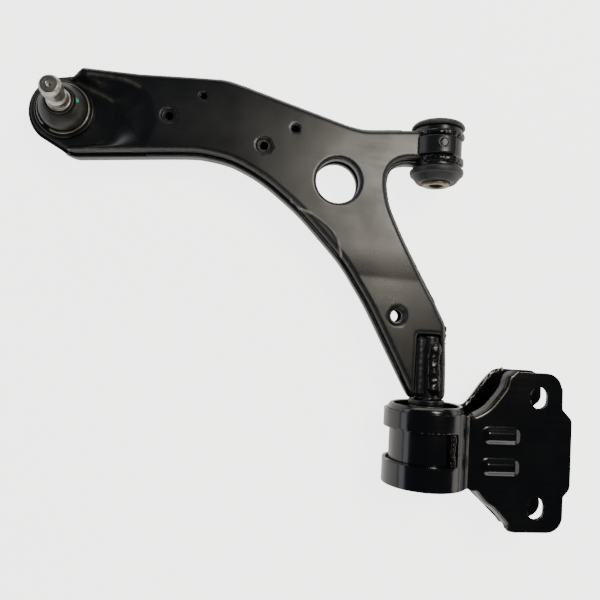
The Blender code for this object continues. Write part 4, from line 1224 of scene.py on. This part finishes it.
def ribLift(x, y):
    # Rounded ribs: each side and each end climbs over the same distance to a narrow flat top
    lift = np.zeros(len(x))
    climb = rib["climb"]
    for middle in rib["middles"]:
        inX = rib["halfLength"] - np.abs(x - rib["x"])
        inY = rib["halfWidth"] - np.abs(y - middle)
        corner = climb - np.hypot(np.maximum(climb - inX, 0), np.maximum(climb - inY, 0))
        lift = np.maximum(lift, rib["rise"] * easeBetween(corner, 0, climb))
    return lift


def bracketShape(flatPoints):
    s, y = flatPoints.T
    x = np.interp(s, wrapLength, wrapPath[:, 0])
    z = np.interp(s, wrapLength, wrapPath[:, 1])
    nx = np.interp(s, wrapLength, wrapNormal[:, 0])
    nz = np.interp(s, wrapLength, wrapNormal[:, 1])
    near = s < wrapMiddle
    worldX = x + pivotX
    shiftX, shiftY, sink = np.zeros(len(s)), np.zeros(len(s)), np.zeros(len(s))
    paintedHighlight = np.zeros(len(s))
    for mask, pairs in (
        (near, (nearDiagonalTop, nearDiagonalLow)),
        (~near, (farDiagonalTop, farDiagonalLow)),
    ):
        mask = mask & (x > 30)
        index = np.flatnonzero(mask)
        for diagonal in pairs:
            shift, down = flangeTurn(diagonal, worldX[index], y[index])
            shiftX[index] += shift[:, 0]
            shiftY[index] += shift[:, 1]
            sink[index] += down
            # Painted highlight along each flange's fold
            fold = np.exp(-(((down - 1.0) / 1.2) ** 2)) * (down > 0.05)
            paintedHighlight[index] = np.maximum(paintedHighlight[index], fold)
    lift = np.where(near & (x > 40), ribLift(worldX, y), 0) - sink
    points = np.column_stack([worldX + nx * lift + shiftX, y + shiftY, z + nz * lift])
    return points, 0.14 * paintedHighlight


def bracketSamples(outline):
    clouds = []
    for distance in (0.6, 1.3, 2.2):
        clouds.append(sideways(outline, -distance, closed=True))
    for diagonal, near in (
        (nearDiagonalTop, True),
        (nearDiagonalLow, True),
        (farDiagonalTop, False),
        (farDiagonalLow, False),
    ):
        line = resample(diagonal, 1.2)
        for distance in np.arange(-4.4, 8, 0.8):
            moved = sideways(line, distance)
            clouds.append(np.column_stack([lengthAt(moved[:, 0], near), moved[:, 1]]))
    along = lengthAt(np.arange(163, 204, 0.8), True)
    s, y = np.meshgrid(along, np.arange(-147, -100, 0.8), indexing="ij")
    clouds.append(np.column_stack([s.reshape(-1), y.reshape(-1)]))
    return clouds


def makeBracket():
    outline = bracketOutline()
    s0, s1 = (lengthAt(pivotX + band["windowEdge"], near) for near in (True, False))
    top, low = band["windowTop"], band["windowBottom"]
    corners = [(s0, top), (s1, top), (s1, low), (s0, low)]
    window = soften(corners, 1.6, 1.2, closed=True)
    holes = [window]
    for near in (True, False):
        for y in band["slotY"]:
            holes.append(slotRing(lengthAt(band["slotX"], near), y))
    points, groups, paintedHighlight = sheetPoints(
        outline, holes, band["spacing"], bracketSamples(outline), bracketShape
    )
    mesh = makeMesh("bracket", points, groups, {"paintedHighlight": paintedHighlight})
    sewMesh(mesh, outward=False)
    middle = Vector((pivotX, 0, partingHeight)) * millimetre

    def leanOut(face):
        # On the wrap, whether the face looks away from the pivot
        away = face.calc_center_median() - middle
        away.y = 0
        return face.normal.dot(away) if away.x < 0 else 0

    faceOut(mesh, leanOut)
    piece = showPiece(
        mesh, "bracketSheet", bracketMaterial, "bracket", ["rear_bracket"]
    )
    addThickness(piece, band["sheet"], edge=0.3)
    print("bracket made")


bracketBead = {
    "width": 2.8,
    "height": 2.2,
    "sides": 20,
    "ripple": 0.06,
    "lumps": 0.14,
    "pitch": 5.0,
}


def makeBracketWelds():
    # Along the ring where the sheet leaves it, above and below
    for level, side in (("Upper", 1), ("Lower", -1)):
        y = np.linspace(-105.5, -137.5, 50)
        x = np.full(50, 15.2) + 0.4 * np.sin(y / 2.7)
        z = side * (np.sqrt(bush["ring"] ** 2 - x**2) + 0.6)
        path = np.column_stack([pivotX + x, y, z])
        up = np.column_stack([x / bush["ring"], 0 * y, z / bush["ring"]])
        name = "bracketWeld" + level
        mesh = beadMesh(name, path, seed=41 + side, flat=up, **bracketBead)
        node = "bracket_weld_" + level.lower()
        showPiece(mesh, name, beadMaterial, "bracket", [node])


def makeRearBush():
    half = bush["length"] / 2
    outer, lip, waist = bush["ring"], bush["lip"], bush["ring"] - bush["waist"]
    wall = bush["wall"]
    skin = [
        (outer - lip - wall, half - 0.6),
        (outer - lip, half),
        (outer - 0.4, half - lip),
        (outer, half - lip - 2),
        (outer, 17.2),
        (waist, 15.6),
        (waist, 0),
        (waist, -15.8),
        (outer, -17.4),
        (outer, -half + lip + 2),
        (outer - 0.4, -half + lip),
        (outer - lip, -half),
        (outer - lip - wall, -half + 0.6),
    ]
    inside = [(r - wall - 0.2, h * 0.96) for r, h in skin[-2:0:-1]]
    centre = (pivotX, rearBushY, 0)
    turnedPiece(
        "bushRing", skin + inside, centre, alongPivot,
        bracketMaterial, "bracket", "rear_outer_ring", "black_paint",
        around=176, softness=0.55,
    )
    rubber = [
        (28.8, 28.2), (30.2, 27.0), (30.2, -27.0), (28.8, -28.2), (25, -26.2), (20, -28.4),
        (17.4, -30.4), (15.7, -30.5), (15.7, 29.6), (17.4, 29.8), (20, 27.6), (25, 25.6),
    ]
    turnedPiece(
        "rearRubber", rubber, centre, alongPivot,
        bushMaterial, "bracket", "rear_rubber", "rubber",
        around=128, softness=0.7,
    )
    pin = [
        (0, 98.6), (9.8, 98.6), (10.9, 97.4), (10.9, 41.2), (12.2, 40.4), (16.3, 39.9),
        (16.5, 39.4), (16.5, 35.4), (16.0, 34.9), (10.0, 34.9), (10.0, -30.2), (8.4, -32.0),
        (0, -32.0),
    ]
    turnedPiece(
        "rearPin", pin, centre, alongPivot,
        armMaterial, "arm", "rear_pin", "black_paint",
        around=112, softness=0.3, closed=False,
    )


def makeFrontBush():
    centre = (pivotX, frontBushY, 0)
    tube = [(22.4, 18.2), (22.4, -18.2), (19.95, -18.2), (19.95, 18.2)]
    turnedPiece(
        "bushTube", tube, centre, alongPivot,
        armMaterial, "arm", "front_housing_tube", "black_paint",
        around=128, softness=0.3,
    )
    rubber = [
        (12.8, 26.2), (16.2, 26.4), (17.6, 25.4), (19.5, 25.2), (22.9, 23.9), (24.6, 21.8),
        (25.0, 20.4), (24.4, 19.0), (22.6, 18.8), (22.0, 19.2), (17.8, 19.6), (17.8, -19.6),
        (22.0, -19.2), (23.8, -18.8), (24.8, -19.8), (25.0, -21.6), (24.4, -24.2), (23.6, -24.9),
        (23.2, -24.6), (22.6, -25.4), (19.4, -29.8), (17.8, -31.4), (16.2, -31.2), (14.6, -30.4),
        (12.8, -30.8),
    ]
    turnedPiece(
        "frontRubber", rubber, centre, alongPivot,
        bushMaterial, "arm", "front_rubber", "rubber",
        around=144, softness=0.4,
    )
    sleeve = [
        (11.6, 27.3), (12.5, 26.4), (12.5, -33.1), (11.7, -34.0), (7.7, -34.0), (6.9, -33.2),
        (6.9, 26.5), (7.7, 27.3),
    ]
    turnedPiece(
        "frontSleeve", sleeve, centre, alongPivot,
        zincMaterial, "front_sleeve", "front_inner_sleeve", "plated_steel",
        around=112, softness=0.22, spacing=0.35,
    )
    print("bushes made")


def makeBallJoint():
    centre = (ballPlace[0], ballPlace[1], 0)
    housing = [
        (17.6, 9.4), (18.2, 8.9), (18.2, 8.2), (17.2, 8.2), (17.2, 6.3), (24.6, 6.3), (25.3, 5.6),
        (25.3, 3.3), (21.0, 3.3), (21.0, -20.4), (19.4, -22.1), (17.3, -22.2), (17.0, -18.4),
        (15.9, -18.2), (15.9, 4.2), (13.7, 5.2), (14.5, 9.4),
    ]
    turnedPiece(
        "jointHousing", housing, centre, alongHeight,
        armMaterial, "arm", "ball_joint_housing", "black_paint",
        around=144, softness=0.28,
    )
    cover = [
        (0, -19.3), (14, -19.3), (16.6, -18.6), (16.7, -20.7), (13, -21.5), (11, -21.2), (0, -21.2),
    ]
    turnedPiece(
        "jointCover", cover, centre, alongHeight,
        zincMaterial, "arm", "housing_cover", "plated_steel",
        around=112, softness=0.3, closed=False,
    )
    makeStud()
    makeBoot()


def makeStud():
    neck = math.degrees(math.acos(6.2 / 12))
    sphere = [tuple(p) for p in arcLine((0, 0), 12, neck, -80, 40)]
    profile = [
        (0, 55.3), (0.9, 55.4), (2.1, 56.7), (2.5, 57), (3.9, 57.0), (4.1, 56.85), (4.5, 57.0),
        (6.6, 57), (7.4, 56.6), (9.0, 53.6), (9.0, 44.6), (7.5, 42.0), (7.4, 41.2), (7.4, 38.6),
        (7.6, 37.8), (8.9, 35.6), (9.0, 29.2), (10.1, 28.6), (10.2, 28.2), (10.2, 24.0), (6.2, 16),
        *sphere, (0, sphere[-1][1]),
    ]
    turnedPiece(
        "ballStud", profile, ballCentre, alongStud,
        studMaterial, "stud", "ball_stud", "bare_steel",
        around=128, softness=0.16, spacing=0.3, closed=False,
    )


bootShape = {"hinge": 10.1, "top": 25.0, "stretchFrom": 11.0, "stretchTo": 20.5}
bootRing = {"radius": 21.5, "height": 7.9, "wire": 1.2, "arc": (242, 585)}


def makeBoot():
    # Above its foot the boot's sections slide sideways in proportion to their height
    profile = [
        (12.2, 25.0), (12.5, 24.6), (12.5, 23.9), (11.7, 23.2), (11.7, 21.1), (12.6, 20.5),
        (14.6, 19.2), (16.6, 17.4), (18.6, 15.0), (19.6, 13.0), (19.9, 11.6), (19.5, 10.9),
        (20.0, 10.3), (20.0, 6.6), (17.5, 6.6), (17.5, 7.9), (18.5, 8.0), (18.4, 11.8),
        (17.4, 14.2), (15.2, 16.6), (10.6, 19.0), (10.6, 24.8),
    ]
    centre = (ballPlace[0], ballPlace[1], 0)
    mesh = turnedMesh("boot", profile, centre, alongHeight, 128, 0.28, 0.4)
    places = np.empty(len(mesh.vertices) * 3, np.float32)
    mesh.vertices.foreach_get("co", places)
    places = places.reshape(-1, 3)
    hinge, top = bootShape["hinge"], bootShape["top"]
    height = np.maximum(places[:, 2] / millimetre - partingHeight - hinge, 0) * millimetre
    sway = (top + ballDrop) * math.tan(studLean) / (top - hinge)
    places[:, 0] += sway * math.cos(leanHeading) * height
    places[:, 1] += sway * math.sin(leanHeading) * height
    mesh.vertices.foreach_set("co", places.reshape(-1))
    boot = showPiece(mesh, "dustBoot", bootRubber, None, ["dust_boot"])
    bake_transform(boot)
    line = arcLine(ballPlace, bootRing["radius"], *bootRing["arc"], 200)
    path = np.column_stack([line, np.full(200, bootRing["height"])])
    mesh = beadMesh("lower ring", path, bootRing["wire"], bootRing["wire"], 12)
    showPiece(mesh, "lowerRing", ringMaterial, "boot", ["boot_lower_ring"])
    ring = arcLine((12.8, 25.1), 0.8, 0, 360, 20)[:-1]
    turnedPiece(
        "upperRing", ring, ballCentre, alongStud,
        bandMaterial, "boot_clip", "boot_upper_ring", "plated_steel",
        around=112, softness=0.05, spacing=0.2,
    )


makeRearBush()
makeBracket()
makeBracketWelds()
makeFrontBush()
makeBallJoint()
for node, material in (
    ("ball_seat", plasticMaterial),
    ("front_outer_sleeve", zincMaterial),
    ("rear_inner_sleeve", zincMaterial),
):
    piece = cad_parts[node]
    piece.data.materials.clear()
    piece.data.materials.append(material)
print("ball joint made")


studio = {
    "floor": "f6f6f5",
    "floorGlow": 3.4,
    "floorBounce": 0.75,
    "key": 6.8,
    "keyPlace": (0.375, 0.42, 1.15),
    "second": 1.15,
    "secondPlace": (0.40, 0.095, 1.15),
    "walls": 8.0,
    "sky": 0.09,
    "camera": (-62.1, -21.5, 558.3),
    "lens": 34.5,
    "roll": 3.2,
}


def makeFloor():
    # White paper on a light table: the camera sees it glow, the object sees plain paper
    bpy.ops.mesh.primitive_plane_add(size=8, location=(0, 0, -0.0006))
    floor = bpy.context.object
    floor.name = "studioFloor"
    material, tree, shader, place = startMaterial("seamless paper, matt white")
    grain = noiseOf(tree, place, 40, 2.0)
    share = remap(tree, grain, 0.4, 0.6, 0.0, 1.0)
    colour = blendColours(tree, share, hexColour(studio["floor"]), hexColour("f8f8f8"))
    tree.links.new(colour, shader.inputs["Base Color"])
    shader.inputs["Roughness"].default_value = 0.9
    seen = addNode(tree, "ShaderNodeLightPath").outputs["Is Camera Ray"]
    shader.inputs["Emission Color"].default_value = hexColour("fffefc")
    glow = remap(tree, seen, 0.0, 1.0, studio["floorBounce"], studio["floorGlow"])
    tree.links.new(glow, shader.inputs["Emission Strength"])
    floor.data.materials.append(material)


def areaLight(name, place, target, size, sizeY, watts, colour):
    light = bpy.data.lights.new(name, "AREA")
    light.energy = watts
    light.color = hexColour(colour)[:3]
    light.shape = "RECTANGLE"
    light.size = size
    light.size_y = sizeY
    lamp = bpy.data.objects.new(name, light)
    bpy.context.scene.collection.objects.link(lamp)
    lamp.location = place
    aim = Vector(target) - Vector(place)
    lamp.rotation_euler = aim.to_track_quat("-Z", "Y").to_euler()


def makeLights():
    # Two small warm softboxes overhead and four low white walls round a dark ceiling
    world = bpy.data.worlds.new("studio")
    bpy.context.scene.world = world
    world.use_nodes = True
    back = world.node_tree.nodes["Background"]
    back.inputs["Color"].default_value = hexColour("d8e0ee")
    back.inputs["Strength"].default_value = studio["sky"]
    key, second = studio["key"], studio["second"]
    areaLight("key softbox", studio["keyPlace"], (0.03, 0.08, 0.05), 0.34, 0.38, key, "fff8ea")
    place = studio["secondPlace"]
    areaLight("small softbox", place, (0.08, 0.01, 0.05), 0.34, 0.22, second, "fff2dc")
    for name, x, y, share, colour in (
        ("front wall", 0.1, -1.5, 1.2, "fffdf6"),
        ("back wall", 0.0, 1.6, 1.1, "fbfcff"),
        ("left wall", -1.6, 0.1, 0.8, "f4f7ff"),
        ("right wall", 1.6, -0.1, 0.8, "fff9ee"),
    ):
        watts = studio["walls"] * share
        areaLight(name, (x, y, 0.42), (0, 0, 0.04), 2.2, 0.55, watts, colour)


def makeCamera():
    data = bpy.data.cameras.new("camera")
    data.lens = studio["lens"]
    data.sensor_width = 36
    camera = bpy.data.objects.new("camera", data)
    bpy.context.scene.collection.objects.link(camera)
    turn = Matrix.Rotation(math.radians(studio["roll"]), 3, "Z")
    aim = Matrix(
        ((0.99368, -0.00468, -0.11213), (0.0, 0.99913, -0.0417), (0.11223, 0.04144, 0.99282))
    )
    frameMatrix = (turn @ aim).to_4x4()
    frameMatrix.translation = Vector(studio["camera"]) * millimetre
    camera.matrix_world = frameMatrix
    bpy.context.scene.camera = camera


makeFloor()
makeLights()
makeCamera()
print("studio made")
